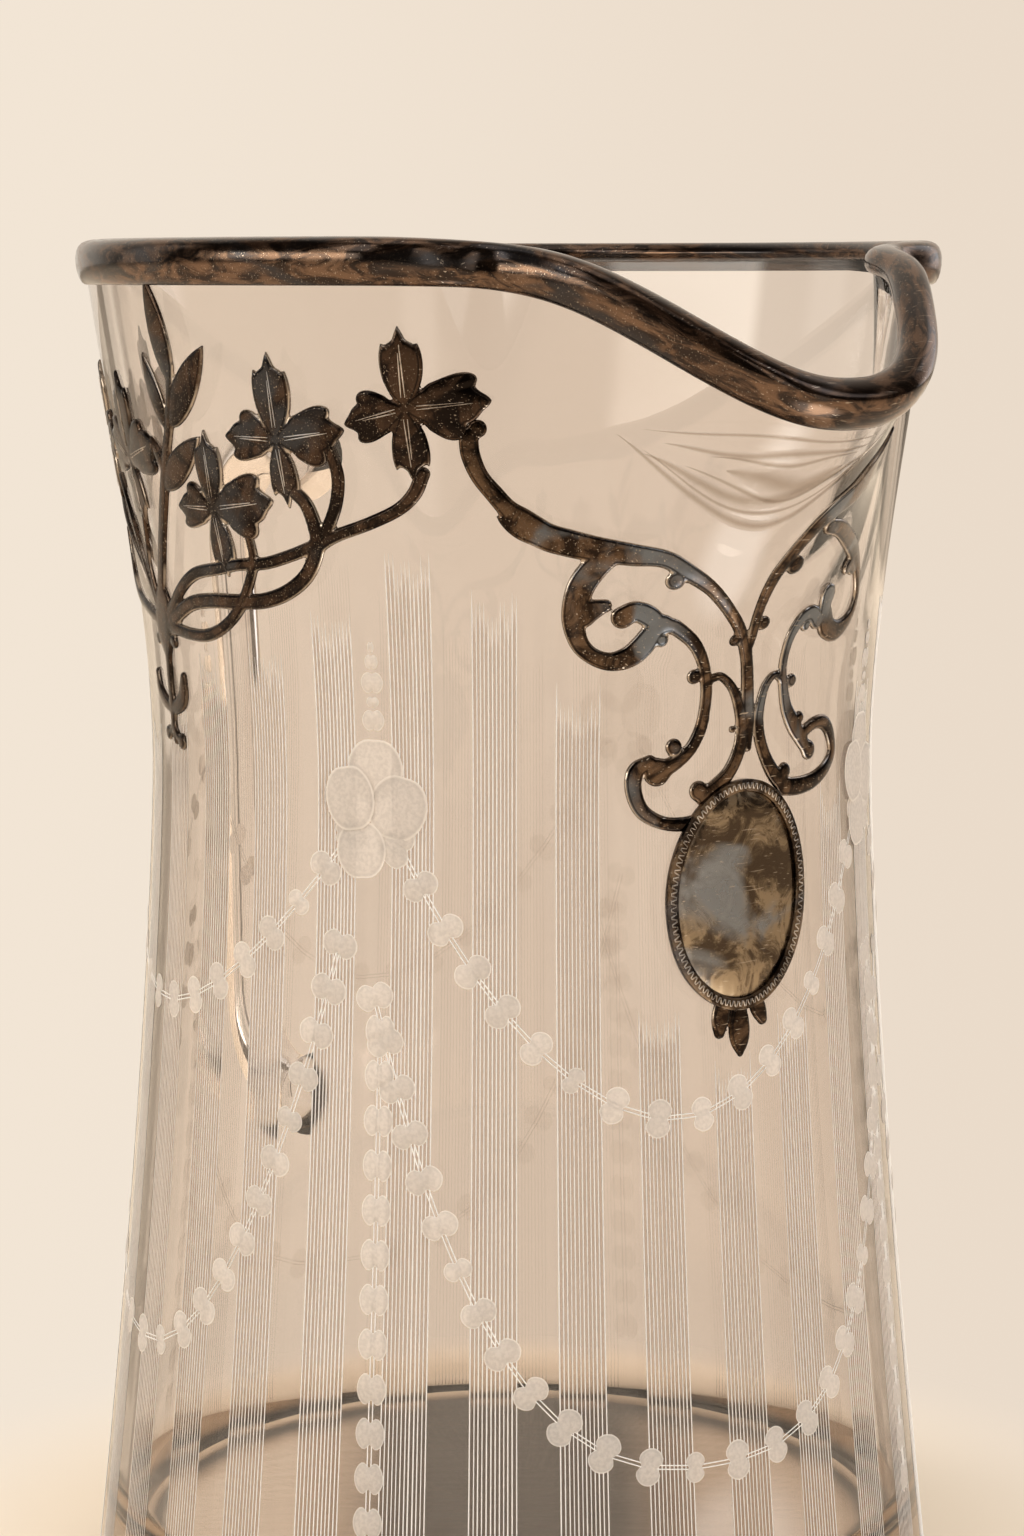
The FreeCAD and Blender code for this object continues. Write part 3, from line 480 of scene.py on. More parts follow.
def rim_frames(angle):
    """Edge points with their outward and wall-down directions, square to the edge's run."""
    def wall_point(turn, z):
        radius = wall_radius(turn, z)
        return np.stack([radius * np.cos(np.radians(turn)), radius * np.sin(np.radians(turn)), z], axis=-1)

    point = wall_point(angle, rim_at(angle))
    along = wall_point(angle + 0.5, rim_at(angle + 0.5)) - wall_point(angle - 0.5, rim_at(angle - 0.5))
    along /= np.linalg.norm(along, axis=1)[:, None]
    down = wall_point(angle, point[:, 2] - band_half) - point
    down -= along * (down * along).sum(axis=1)[:, None]
    down /= np.linalg.norm(down, axis=1)[:, None]
    return point, np.cross(down, along), down


stations = np.arange(720) * 0.5 - 180.0
point, out_way, down_way = rim_frames(stations)
across, drop = np.array(section).T
facing_away = np.clip(-np.cos(np.radians(stations) + turn_from_lip) * 2.0, 0.0, 1.0)[:, None]
drops = np.where(drop > 0, drop * (1.0 - back_narrowing * facing_away), drop)
outwards = out_way[:, None, :] * across[None, :, None]
rows = point[:, None, :] + outwards + down_way[:, None, :] * drops[:, :, None]
band_faces = ring_faces(*rows.shape[:2], close_rows=True)
band = mesh_from("rim_band_silver", rows.reshape(-1, 3) / 1000.0, band_faces)
run = band.data.attributes.new("run", "FLOAT_VECTOR", "POINT")
around_section = np.cumsum(np.hypot(*np.diff([across, drop], prepend=0))) / 1000.0
girth, turn = np.meshgrid(np.radians(stations) * rim_mean_radius, around_section, indexing="ij")
run.data.foreach_set("vector", np.stack([girth, turn, 0 * turn], axis=-1).ravel())
band_silver = tarnished(
    "rim_silver", (0.038, 0.028, 0.023), (0.16, 0.098, 0.064), (0.046, 0.042, 0.042), 0.14, stretched="run")
band.data.materials.append(band_silver)
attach(band, "root")
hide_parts("rim_band")

# Silver overlay
# Thin silver grown on the glass and sawn into scrolls, an oval plate and a spray of flowers, then
# engraved. Each piece hugs the wall, domed a little, with rounded edges. Lines are rows of across and up,
# in shares of the drawing's size, and half width in mm.
drawing_size = 50.0
scroll_place, spray_place = (0.0, 118.3), (-97.0, 137.6)
cell, far_off, edge_margin = 0.2, 9.0, 1.2
sheet_foot, sheet_side, bevel_width, bevel_height, swell_width = 0.02, 0.12, 0.34, 0.28, 1.6
arm_leaf_half, stem_leaf_half, petal_size, eye_radius, vein_width = 1.7, 1.8, 10.0, 0.9, 0.21


def sized(rows):
    """Rows of across, up and half width in mm."""
    return np.array(rows) * (drawing_size, drawing_size, 1.0)


def scroll_line(rows):
    """Discs in mm along the smooth curve (Catmull-Rom) through the rows, 24 to a stretch."""
    rows = sized(rows)
    ends = np.concatenate([[2 * rows[0] - rows[1]], rows, [2 * rows[-1] - rows[-2]]])
    t = np.linspace(0, 1, 24, endpoint=False)[None, :, None]
    a, b, c, d = (ends[k : len(ends) - 3 + k, None] for k in range(4))
    curve = b + 0.5 * ((c - a) * t + (2 * a - 5 * b + 4 * c - d) * t**2 + (3 * b - a - 3 * c + d) * t**3)
    return np.concatenate([curve.reshape(-1, 3), rows[-1:]])


def leaf_line(base, tip, half):
    """Discs of a pointed leaf: half width times sin(pi s^0.8)^0.8 along it."""
    s = np.linspace(0.0, 1.0, 60)[:, None]
    centre = (np.array(base) * (1 - s) + np.array(tip) * s) * drawing_size
    return np.concatenate([centre, half * np.sin(np.pi * np.clip(s, 0.01, 0.99) ** 0.8) ** 0.8], axis=1)


def melted(strokes, x, y, join=0.3):
    """Signed distance in mm to all strokes, each the nearest of its discs, melted together over join mm."""
    field = np.full((len(y), len(x)), far_off)
    for discs in strokes:
        own = np.full(field.shape, far_off)
        for few in np.array_split(discs, max(1, len(discs) // 24)):
            low = few[:, :2].min(axis=0) - few[:, 2].max() - edge_margin
            high = few[:, :2].max(axis=0) + few[:, 2].max() + edge_margin
            across = slice(*np.searchsorted(x, (low[0], high[0])))
            up = slice(*np.searchsorted(y, (low[1], high[1])))
            far = np.hypot(x[None, across, None] - few[:, 0], y[up, None, None] - few[:, 1]) - few[:, 2]
            own[up, across] = np.minimum(own[up, across], far.min(axis=2))
        share = np.clip(0.5 + 0.5 * (field - own) / join, 0.0, 1.0)
        field = field * (1 - share) + own * share - join * share * (1 - share)
    return field


def silver_sheet(name, strokes, place, lift=0.0, crown=0.14):
    """The grid cells that a drawing covers, their outer corners pushed to its edge, domed and closed."""
    discs = np.concatenate(strokes)
    low = (discs[:, :2] - discs[:, 2:]).min(axis=0) - 1.0
    high = (discs[:, :2] + discs[:, 2:]).max(axis=0) + 1.0
    x, y = np.arange(low[0], high[0], cell), np.arange(low[1], high[1], cell)
    field = melted(strokes, x, y)
    covered = field < 0
    i, j = np.nonzero(covered[:-1, :-1] | covered[:-1, 1:] | covered[1:, :-1] | covered[1:, 1:])
    corner = i * len(x) + j
    quads = np.stack([corner, corner + 1, corner + len(x) + 1, corner + len(x)], axis=1)
    used, quads = np.unique(quads, return_inverse=True)
    quads = quads.reshape(-1, 4)
    slope_y, slope_x = (slope.ravel()[used] for slope in np.gradient(field, cell))
    far = field.ravel()[used]
    back = np.clip(far, 0.0, 1.5 * cell) / (np.hypot(slope_x, slope_y) + 1e-6)
    across = x[used % len(x)] - back * slope_x
    up = y[used // len(x)] - back * slope_y
    inward = np.clip(-far, 0.0, None)
    bevel = np.clip(inward / bevel_width, 0.0, 1.0)
    swell = np.clip(inward / swell_width, 0.0, 1.0)
    height = sheet_side + lift + bevel_height * np.sqrt(1 - (1 - bevel) ** 2) + crown * swell * (2 - swell)
    angle = place[0] + np.degrees(across / waist_radius)
    top, under = on_wall(angle, place[1] + up, height), on_wall(angle, place[1] + up, sheet_foot)
    edges = np.concatenate([quads[:, [k, (k + 1) % 4]] for k in range(4)])
    _, first, times = np.unique(np.sort(edges, axis=1), axis=0, return_index=True, return_counts=True)
    a, b = edges[first[times == 1]].T
    count = len(used)
    faces = np.concatenate([quads, quads[:, ::-1] + count, np.stack([b, a, a + count, b + count], axis=1)])
    made = mesh_from(name, np.concatenate([top, under]), faces)
    depth_in = made.data.attributes.new("inward", "FLOAT", "POINT")
    depth_in.data.foreach_set("value", np.concatenate([inward, 0 * inward]).astype(np.float32))
    return made


stem_shares = (
    (-0.026, 0.335, 0.5), (-0.019, 0.283, 0.85), (-0.012, 0.242, 0.95), (-0.006, 0.194, 1.0),
    (0.0, 0.146, 0.9), (0.003, 0.08, 0.5),
)
scroll_shares = {
    "left": {
        "arm": (
            (-0.725, 0.865, 1.1), (-0.72, 0.82, 1.1), (-0.7, 0.77, 1.05), (-0.665, 0.725, 1.1),
            (-0.635, 0.69, 1.2), (-0.6, 0.66, 1.6), (-0.55, 0.626, 1.7), (-0.5, 0.61, 1.7),
            (-0.44, 0.595, 1.6), (-0.355, 0.58, 1.4), (-0.28, 0.568, 1.1), (-0.225, 0.535, 1.05),
            (-0.16, 0.49, 0.86), (-0.1, 0.43, 0.8), (-0.06, 0.38, 0.8), (-0.035, 0.325, 0.75),
            (-0.018, 0.275, 0.8),
        ),
        "arm_knobs": ((-0.705, 0.884, 1.1), (-0.25, 0.514, 1.15), (-0.072, 0.356, 0.7)),
        "arm_leaf": ((-0.53, 0.62), (-0.66, 0.672)),
        "c": (
            (-0.405, 0.575, 1.3), (-0.438, 0.546, 1.6), (-0.465, 0.505, 1.65), (-0.479, 0.455, 1.55),
            (-0.481, 0.41, 1.35), (-0.466, 0.362, 1.15), (-0.435, 0.331, 1.05), (-0.391, 0.316, 1.15),
            (-0.346, 0.326, 1.4), (-0.314, 0.353, 1.5), (-0.289, 0.389, 1.3), (-0.266, 0.408, 1.1),
        ),
        "c_lobe": ((-0.462, 0.435, 1.75), (-0.435, 0.446, 1.25), (-0.408, 0.455, 0.8)),
        "head": ((-0.366, 0.425, 1.4), (-0.337, 0.439, 1.3), (-0.306, 0.428, 1.35), (-0.28, 0.406, 1.25)),
        "lower": (
            (-0.282, 0.402, 1.3), (-0.25, 0.402, 1.0), (-0.228, 0.392, 0.95), (-0.183, 0.355, 0.86),
            (-0.152, 0.306, 0.8), (-0.136, 0.25, 0.8), (-0.134, 0.2, 0.8), (-0.142, 0.145, 0.86),
            (-0.167, 0.095, 0.86), (-0.2, 0.064, 0.9), (-0.245, 0.042, 1.2),
        ),
        "curl": (
            (-0.282, 0.062, 0.9), (-0.318, 0.04, 1.15), (-0.324, -0.005, 1.1), (-0.302, -0.058, 1.0),
            (-0.25, -0.09, 0.86), (-0.19, -0.098, 0.92), (-0.13, -0.09, 1.0),
        ),
        "lower_knobs": (
            (-0.268, 0.366, 0.9), (-0.172, 0.27, 0.95), (-0.218, 0.096, 1.1), (-0.262, 0.036, 1.8),
        ),
        "inner": (
            (-0.124, 0.262, 0.55), (-0.095, 0.266, 0.55), (-0.06, 0.238, 0.63), (-0.037, 0.198, 0.75),
            (-0.022, 0.152, 0.9), (-0.02, 0.104, 1.0), (-0.034, 0.058, 1.0), (-0.06, 0.018, 1.0),
            (-0.096, -0.012, 1.1), (-0.13, -0.034, 1.2),
        ),
        "inner_knobs": ((-0.146, -0.018, 1.3), (-0.05, 0.13, 0.45)),
    },
    "right": {
        "arm": (
            (0.275, 0.87, 0.35), (0.245, 0.835, 0.7), (0.222, 0.8, 1.3), (0.194, 0.76, 1.8),
            (0.155, 0.716, 1.6), (0.108, 0.682, 1.35), (0.073, 0.648, 1.1), (0.046, 0.607, 0.95),
            (0.022, 0.564, 0.9), (0.001, 0.521, 0.85), (-0.012, 0.474, 0.78), (-0.02, 0.42, 0.7),
            (-0.022, 0.375, 0.7), (-0.024, 0.345, 0.6),
        ),
        "arm_knobs": ((0.048, 0.542, 1.2), (0.004, 0.397, 0.9)),
        "arm_leaf": ((0.13, 0.69), (0.255, 0.79)),
        "c": (
            (0.116, 0.635, 1.0), (0.16, 0.628, 1.1), (0.205, 0.612, 1.2), (0.296, 0.568, 1.3),
            (0.36, 0.514, 0.95), (0.392, 0.456, 0.75), (0.388, 0.408, 0.8), (0.357, 0.373, 1.0),
            (0.303, 0.354, 1.4), (0.25, 0.37, 1.5), (0.232, 0.398, 1.5),
        ),
        "c_lobe": ((0.33, 0.512, 0.9), (0.308, 0.522, 1.05), (0.293, 0.514, 0.8)),
        "head": ((0.223, 0.452, 1.55), (0.224, 0.415, 1.3), (0.245, 0.38, 1.5)),
        "lower": (
            (0.2, 0.39, 1.2), (0.169, 0.41, 1.1), (0.135, 0.4, 0.95), (0.11, 0.363, 0.8),
            (0.1, 0.316, 0.7), (0.101, 0.268, 0.7), (0.114, 0.219, 0.8), (0.132, 0.169, 1.0),
            (0.162, 0.126, 1.25), (0.192, 0.09, 1.1), (0.215, 0.065, 1.0),
        ),
        "curl": (
            (0.2, 0.1, 0.9), (0.25, 0.12, 0.85), (0.298, 0.117, 1.0), (0.33, 0.084, 0.95),
            (0.342, 0.038, 0.85), (0.312, 0.0, 0.95), (0.255, -0.026, 1.1), (0.19, -0.034, 1.2),
            (0.13, -0.03, 1.2),
        ),
        "lower_knobs": ((0.229, 0.054, 1.3), (0.138, 0.24, 0.9), (0.184, 0.142, 0.8), (0.155, 0.38, 0.8)),
        "inner": (
            (0.101, 0.247, 0.5), (0.074, 0.259, 0.55), (0.05, 0.237, 0.65), (0.038, 0.197, 0.75),
            (0.033, 0.15, 0.85), (0.041, 0.102, 0.9), (0.062, 0.053, 0.95), (0.092, 0.009, 1.1),
            (0.125, -0.022, 1.2),
        ),
        "inner_knobs": ((0.132, 0.01, 1.1),),
    },
}
curves = ("arm", "c", "c_lobe", "head", "lower", "curl", "inner")
scroll_work = [scroll_line(stem_shares)]
for lines in scroll_shares.values():
    scroll_work += [scroll_line(lines[part]) for part in curves]
    scroll_work.append(leaf_line(*lines["arm_leaf"], arm_leaf_half))
    knobs = [row for part in ("arm_knobs", "lower_knobs", "inner_knobs") for row in lines[part]]
    scroll_work += [sized([row]) for row in knobs]
drop_shares = (
    ((-0.036, -0.5, 0.8), (-0.037, -0.56, 1.0), (-0.038, -0.615, 1.55), (-0.038, -0.65, 1.4),
     (-0.038, -0.69, 0.35)),
    ((-0.066, -0.5, 0.7), (-0.084, -0.55, 1.1), (-0.094, -0.595, 1.25), (-0.098, -0.63, 0.75)),
    ((-0.01, -0.5, 0.7), (0.008, -0.54, 1.05), (0.024, -0.58, 1.2), (0.036, -0.61, 0.75)),
)
drop_work = [scroll_line(line) for line in drop_shares]

stalk_shares = (
    (0.155, 0.64, 0.7), (0.138, 0.555, 0.75), (0.116, 0.488, 0.8), (0.086, 0.42, 0.85),
    (0.044, 0.318, 0.95), (-0.006, 0.196, 0.95), (-0.07, 0.03, 1.1),
)
upper_loop_shares = (
    (-0.05, -0.02, 1.0), (0.0, 0.02, 0.9), (0.064, 0.076, 0.85), (0.138, 0.117, 0.85), (0.234, 0.136, 0.85),
    (0.308, 0.15, 0.8), (0.394, 0.158, 0.8), (0.476, 0.182, 0.8), (0.556, 0.214, 0.8),
)
main_loop_shares = (
    (-0.05, -0.036, 1.1), (0.02, 0.0, 1.0), (0.104, 0.038, 1.0), (0.194, 0.052, 1.0), (0.294, 0.056, 1.0),
    (0.382, 0.064, 1.0), (0.456, 0.09, 1.0), (0.514, 0.134, 1.0), (0.546, 0.194, 1.0), (0.55, 0.242, 1.0),
    (0.53, 0.308, 0.95), (0.494, 0.345, 0.9),
)
low_loop_shares = (
    (-0.05, -0.03, 1.0), (0.01, -0.035, 0.9), (0.086, -0.042, 0.85), (0.162, -0.038, 0.85),
    (0.234, -0.01, 0.8), (0.296, 0.04, 0.8), (0.34, 0.11, 0.75), (0.36, 0.168, 0.7), (0.352, 0.23, 0.65),
)
last_flower_stem_shares = (
    (0.815, 0.39, 0.85), (0.795, 0.342, 0.85), (0.757, 0.303, 0.8), (0.688, 0.268, 0.8), (0.6, 0.234, 0.8),
    (0.55, 0.205, 0.8),
)
second_flower_stem_shares = (
    (0.596, 0.46, 0.8), (0.614, 0.4, 0.8), (0.616, 0.36, 0.8), (0.604, 0.304, 0.8), (0.575, 0.24, 0.8),
)
thin_stem_shares = (
    ((-0.1, 0.02, 0.6), (-0.148, 0.1, 0.55), (-0.2, 0.19, 0.5), (-0.25, 0.27, 0.5), (-0.31, 0.34, 0.5)),
    ((-0.09, 0.03, 0.6), (-0.12, 0.12, 0.5), (-0.114, 0.18, 0.5), (-0.108, 0.25, 0.5)),
    ((-0.08, 0.0, 0.8), (-0.16, 0.1, 0.6), (-0.3, 0.2, 0.55), (-0.46, 0.29, 0.5), (-0.62, 0.36, 0.5)),
    ((-0.1, -0.02, 0.9), (-0.2, 0.002, 0.8), (-0.3, 0.03, 0.8), (-0.4, 0.09, 0.7), (-0.44, 0.19, 0.6)),
)
knot_shares = (
    (-0.054, 0.03, 2.1), (-0.068, -0.03, 2.6), (-0.066, -0.08, 1.6), (-0.064, -0.11, 0.9),
    (-0.066, -0.17, 0.8), (-0.062, -0.24, 0.9), (-0.06, -0.29, 0.7), (-0.05, -0.33, 0.6),
)
hook_shares = (
    ((-0.06, -0.25, 0.8), (-0.11, -0.235, 1.0), (-0.15, -0.21, 1.0), (-0.165, -0.165, 0.7)),
    ((-0.06, -0.25, 0.8), (-0.02, -0.235, 1.1), (0.01, -0.21, 1.2), (0.02, -0.16, 0.7)),
    ((-0.06, -0.29, 0.7), (-0.075, -0.305, 0.6), (-0.09, -0.31, 0.6), (-0.1, -0.315, 0.6)),
    ((-0.055, -0.3, 0.7), (-0.04, -0.315, 0.6), (-0.025, -0.325, 0.6), (-0.012, -0.33, 0.6)),
)
stem_leaf_shares = (
    ((0.15, 0.6), (0.1, 0.86), 1.0), ((0.105, 0.48), (0.045, 0.67), 0.8),
    ((0.13, 0.49), (0.28, 0.69), 1.15), ((0.06, 0.33), (0.228, 0.465), 1.1),
    ((0.07, 0.37), (0.02, 0.46), 0.5),
)
knot_boss_shares = ((-0.118, -0.07, 0.9), (-0.015, -0.07, 0.9), (-0.1, -0.315, 1.0), (-0.012, -0.33, 1.1))
# Each flower: its centre, the ways of its four petals in degrees, and their lengths in tens of mm.
right_flower_shares = (
    ((0.25, 0.288), (91.0, 8.0, -83.0, 180.0), (0.98, 0.95, 0.86, 0.7)),
    ((0.47, 0.466), (92.0, 9.0, -85.0, 178.0), (1.06, 0.86, 0.84, 0.75)),
    ((0.782, 0.546), (93.0, 6.0, -85.0, 196.0), (0.98, 0.94, 0.9, 0.72)),
)
left_flower_shares = (
    ((-0.13, 0.396), (87.0, 23.0, -104.0, 165.0), (1.12, 0.82, 0.86, 0.88)),
    ((-0.42, 0.44), (90.0, 10.0, -88.0, 178.0), (1.0, 0.88, 0.86, 0.76)),
    ((-0.69, 0.52), (92.0, 6.0, -86.0, 190.0), (0.98, 0.92, 0.88, 0.74)),
)
# Each kind: half width of body and tip, the tip's power, teeth (along, aside, half width), the teeth's power.
petal_kinds = {
    "long": (0.225, 0.12, 1.8, ((0.80, 0.19, 0.1), (0.78, -0.19, 0.1)), 2.4),
    "side": (0.29, 0.19, 2.6, ((0.84, 0.31, 0.15), (0.60, -0.37, 0.17)), 5.0),
    "low": (0.21, 0.115, 1.8, ((0.78, 0.2, 0.09), (0.8, -0.2, 0.09)), 2.6),
}


def petal(centre, way, length, kind, side):
    """A full body, a pointed tip and a tooth to each side, as discs in shares of the petal's length."""
    body, tip, tip_power, teeth, tooth_power = petal_kinds[kind]
    s = np.linspace(0, 1, 48)
    parts = [
        np.stack([0.03 + 0.6 * s, 0 * s, body * (0.2 + 0.8 * np.sin(0.62 * np.pi * s))], axis=1),
        np.stack([0.5 + 0.5 * s, 0 * s, tip * (1 - s**tip_power) + 0.006], axis=1),
    ]
    for along, aside, half in teeth:
        tooth = half * (1 - s**tooth_power) + 0.006
        parts.append(np.stack([0.38 + (along - 0.38) * s, aside * (0.5 + 0.5 * s), tooth], axis=1))
    turn = math.radians(way)
    ahead = np.array([side * math.cos(turn), math.sin(turn)])
    left = np.array([-side * math.sin(turn), math.cos(turn)])
    grown = [part * length for part in parts]
    turned = [centre + part[:, :1] * ahead + part[:, 1:2] * left for part in grown]
    return [np.concatenate([place, part[:, 2:]], axis=1) for place, part in zip(turned, grown)]


stem_lines = (stalk_shares, upper_loop_shares, main_loop_shares, low_loop_shares, last_flower_stem_shares,
              second_flower_stem_shares, *thin_stem_shares, knot_shares, *hook_shares)
spray_work = [scroll_line(line) for line in stem_lines]
spray_work += [sized([row]) for row in knot_boss_shares]
spray_work += [leaf_line(base, tip, stem_leaf_half * width) for base, tip, width in stem_leaf_shares]
scroll_silver = tarnished(
    "scroll_silver", (0.02, 0.013, 0.009), (0.12, 0.075, 0.046), (0.13, 0.14, 0.155), 0.18, edged=True)
spray_silver = tarnished(
    "spray_silver", (0.014, 0.010, 0.008), (0.062, 0.038, 0.025), (0.04, 0.04, 0.043), 0.2, edged=True)
sheets = [
    (silver_sheet("lip_scrollwork", scroll_work, scroll_place),
     [node for node in nodes if node.endswith("_scroll") or node == "centre_stem"]),
    (silver_sheet("plate_drops", drop_work, scroll_place), ["pendant_drops"]),
    (silver_sheet("spray_stems", spray_work, spray_place),
     ["left_stems", "right_stems", "leaf_stalk", "spray_knot"]),
]
vein_share = np.linspace(0.06, 0.94, 12)
veins, widths = [], []
for name, side, flowers in (("right", 1, right_flower_shares), ("left", -1, left_flower_shares)):
    for number, (share, ways, lengths) in enumerate(flowers, 1):
        centre = np.array(share) * drawing_size
        petals = [np.array([[*centre, eye_radius]])]
        for way, scale, kind in zip(ways, lengths, ("long", "side", "low", "side")):
            length = petal_size * scale
            petals += petal(centre, way, length, kind, side)
            turn = math.radians(way)
            for aside in (-0.2, 0.2):
                along = np.linspace(0.14, 0.78 - 0.1 * (aside > 0), 12)
                out, off = along * length, aside * (1.2 - along)
                x = centre[0] + side * (math.cos(turn) * out - math.sin(turn) * off)
                y = centre[1] + math.sin(turn) * out + math.cos(turn) * off
                angle = spray_place[0] + np.degrees(x / waist_radius)
                veins.append(np.stack([angle, spray_place[1] + y], axis=1))
                widths.append(vein_width * np.sin(np.pi * vein_share) ** 0.5)
        node = f"{name}_flower_{number}"
        sheets.append((silver_sheet(node + "_petals", petals, spray_place, lift=0.05), [node]))
for sheet, stood_for in sheets:
    under_lip = sheet.name in ("lip_scrollwork", "plate_drops")
    sheet.data.materials.append(scroll_silver if under_lip else spray_silver)
    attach(sheet, "root")
    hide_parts(*stood_for)
plate_silver = tarnished(
    "plate_silver", (0.078, 0.055, 0.037), (0.34, 0.255, 0.165), (0.25, 0.258, 0.27), 0.24)
border_silver = tarnished(
    "border_silver", (0.03, 0.02, 0.014), (0.16, 0.11, 0.07), (0.10, 0.10, 0.11), 0.25)
for name, paint in (("cartouche_plate", plate_silver), ("cartouche_border", border_silver)):
    piece = nodes[name]
    piece.data.materials.clear()
    piece.data.materials.append(paint)
    weld = piece.modifiers.new("weld", "WELD")
    weld.merge_threshold = 0.00001
    edge = piece.modifiers.new("edge", "BEVEL")
    edge.width = 0.00016
    edge.segments = 2
    edge.limit_method = "ANGLE"
    edge.angle_limit = math.radians(40)
    edge.harden_normals = True

# Engraved panels
# Thirty upright panels of twelve fine wheel-cut lines, with ragged heads under the silver.
# The cuts are white and rough, and the ground between them is slightly greyed.
panel_tops = (
    134.0, 128.0, 122.0, 126.0, 131.8, 134.5, 139.8, 147.4, 142.2, 130.0, 90.2, 82.9, 88.2, 114.9, 128.0,
    139.0, 145.0, 138.0, 131.0, 134.0, 139.0, 134.0, 129.0, 126.0, 129.0, 134.0, 139.0, 136.0, 131.0, 128.0,
)
first_panel, panel_step, panel_half, cut_count, cut_foot, cut_points = -135.5, 12.0, 3.1, 12, 5.0, 44
head_dip, head_horns, ragged, wander = 1.6, 2.4, (-1.2, 1.0), (-0.03, 0.03)
cut_width, cut_taper, far_thinning = (0.14, 0.2), 2.5, 0.6
film_half, film_taper, film_drop, film_lift = 0.27, 1.6, (0.6, 2.4), 0.012
camera_turn, front_reach = math.degrees(turn_from_lip), 97.0


def ridges(name, lines, widths, crest, lift):
    """Low ridges along lines of (angle, height): left foot, crest and right foot at each point."""
    points, faces = [], []
    for line, width in zip(lines, widths):
        angle, z = line[:, 0], line[:, 1]
        radius = wall_radius(angle, z)
        x = np.radians(angle) * radius
        along = np.stack([np.gradient(x), np.gradient(z)], axis=1)
        along /= np.linalg.norm(along, axis=1)[:, None] + 1e-9
        half = np.broadcast_to(width, angle.shape) / 2
        side = np.stack([-along[:, 1], along[:, 0]], axis=1) * half[:, None]
        left = on_wall(angle + np.degrees(side[:, 0] / radius), z + side[:, 1], lift)
        right = on_wall(angle - np.degrees(side[:, 0] / radius), z - side[:, 1], lift)
        top = on_wall(angle, z, lift + crest)
        first = len(points)
        for triple in zip(left, top, right):
            points.extend(triple)
        for here in range(first, first + 3 * (len(angle) - 1), 3):
            faces.append((here, here + 3, here + 4, here + 1))
            faces.append((here + 1, here + 4, here + 5, here + 2))
            faces.append((here + 2, here + 5, here + 3, here))
    return mesh_from(name, points, faces)


chance = np.random.default_rng(7)
front_lines, back_lines, front_widths, back_widths = [], [], [], []
strips = []
for panel, top in enumerate(panel_tops):
    centre = first_panel + panel_step * panel
    in_front = abs((centre + camera_turn + 180.0) % 360.0 - 180.0) < front_reach
    places = np.linspace(-panel_half, panel_half, cut_count)
    horns = head_horns * (np.abs(places) / panel_half) ** 4
    heads = top - head_dip + horns + chance.uniform(*ragged, cut_count)
    for place, head in zip(places, heads):
        z = np.linspace(cut_foot, head, cut_points)
        drift = chance.uniform(*wander)
        line = np.stack([centre + place + drift + 0 * z, z], axis=1)
        thick = chance.uniform(*cut_width) * np.minimum(1.0, (head - z) / cut_taper + 0.08)
        (front_lines if in_front else back_lines).append(line)
        (front_widths if in_front else back_widths).append(thick if in_front else thick * far_thinning)
    if in_front:
        for between, lower in zip((places[1:] + places[:-1]) / 2, np.minimum(heads[1:], heads[:-1])):
            strips.append((centre + between, lower - chance.uniform(*film_drop)))
cuts = ridges("engraved_lines", front_lines, front_widths, 0.04, 0.03)
faint_cuts = ridges("engraved_lines_behind", back_lines, back_widths, 0.03, 0.02)
points, faces = [], []
for centre, head in strips:
    z = np.linspace(cut_foot, head, cut_points)
    half = film_half * np.minimum(1.0, (head - z) / film_taper)
    first = len(points)
    points.extend(on_wall(centre - half, z, film_lift))
    points.extend(on_wall(centre + half, z, film_lift))
    for here in range(first, first + cut_points - 1):
        faces.append((here, here + cut_points, here + cut_points + 1, here + 1))
ground_film = mesh_from("engraved_ground", points, faces)


def frosted(name, colour, clear_share, rough, bump_scale, bump_size, rim_highlight=None):
    """Ground glass: pale and matt, partly seen through, with a fine grain and, if asked, a painted highlight
    on its rim with a ring of painted shade just inside it.
    """
    made, tree, surface = principled(
        name,
        {"Base Color": (*colour, 1.0), "Roughness": rough, "IOR": 1.06, "Transmission Weight": clear_share})
    grain = noise_over(tree, add_node(tree, "TexCoord").outputs["Object"], bump_scale, 4.0)
    bumped(tree, surface, grain, 0.6, bump_size)
    if rim_highlight:
        out = add_node(tree, "Attribute", attribute_name="rim").outputs["Fac"]
        # painted shade in a ring just inside the rim, and a painted highlight on the rim itself
        duller, painted_shade_ring = ((*[share * part for part in colour], 1.0) for share in (0.86, 0.7))
        mottled = blended(tree, faded(tree, grain, 0.35, 0.65), duller, (*colour, 1.0))
        mottled = blended(tree, faded(tree, out, 0.75, 0.9, 0.0, 0.35), mottled, painted_shade_ring)
        painted = blended(tree, faded(tree, out, 0.9, 0.97), mottled, (*rim_highlight, 1.0))
        tree.links.new(painted, surface.inputs["Base Color"])
    return made


cut_white = frosted("cut_lines", (1.0, 0.96, 0.91), 0.1, 0.6, 3000.0, 0.00002)
cut_grey = frosted("cut_ground", (0.68, 0.61, 0.56), 0.95, 0.25, 2500.0, 0.00001)
cut_faint = frosted("faint_cuts", (0.97, 0.95, 0.93), 0.94, 0.2, 2500.0, 0.00001)
leaf_white = frosted("cut_leaves", (0.90, 0.835, 0.77), 0.45, 0.65, 2200.0, 0.00008, (1.0, 0.94, 0.87))
for piece, paint in ((cuts, cut_white), (ground_film, cut_grey), (faint_cuts, cut_faint)):
    piece.data.materials.append(paint)
    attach(piece, "root")

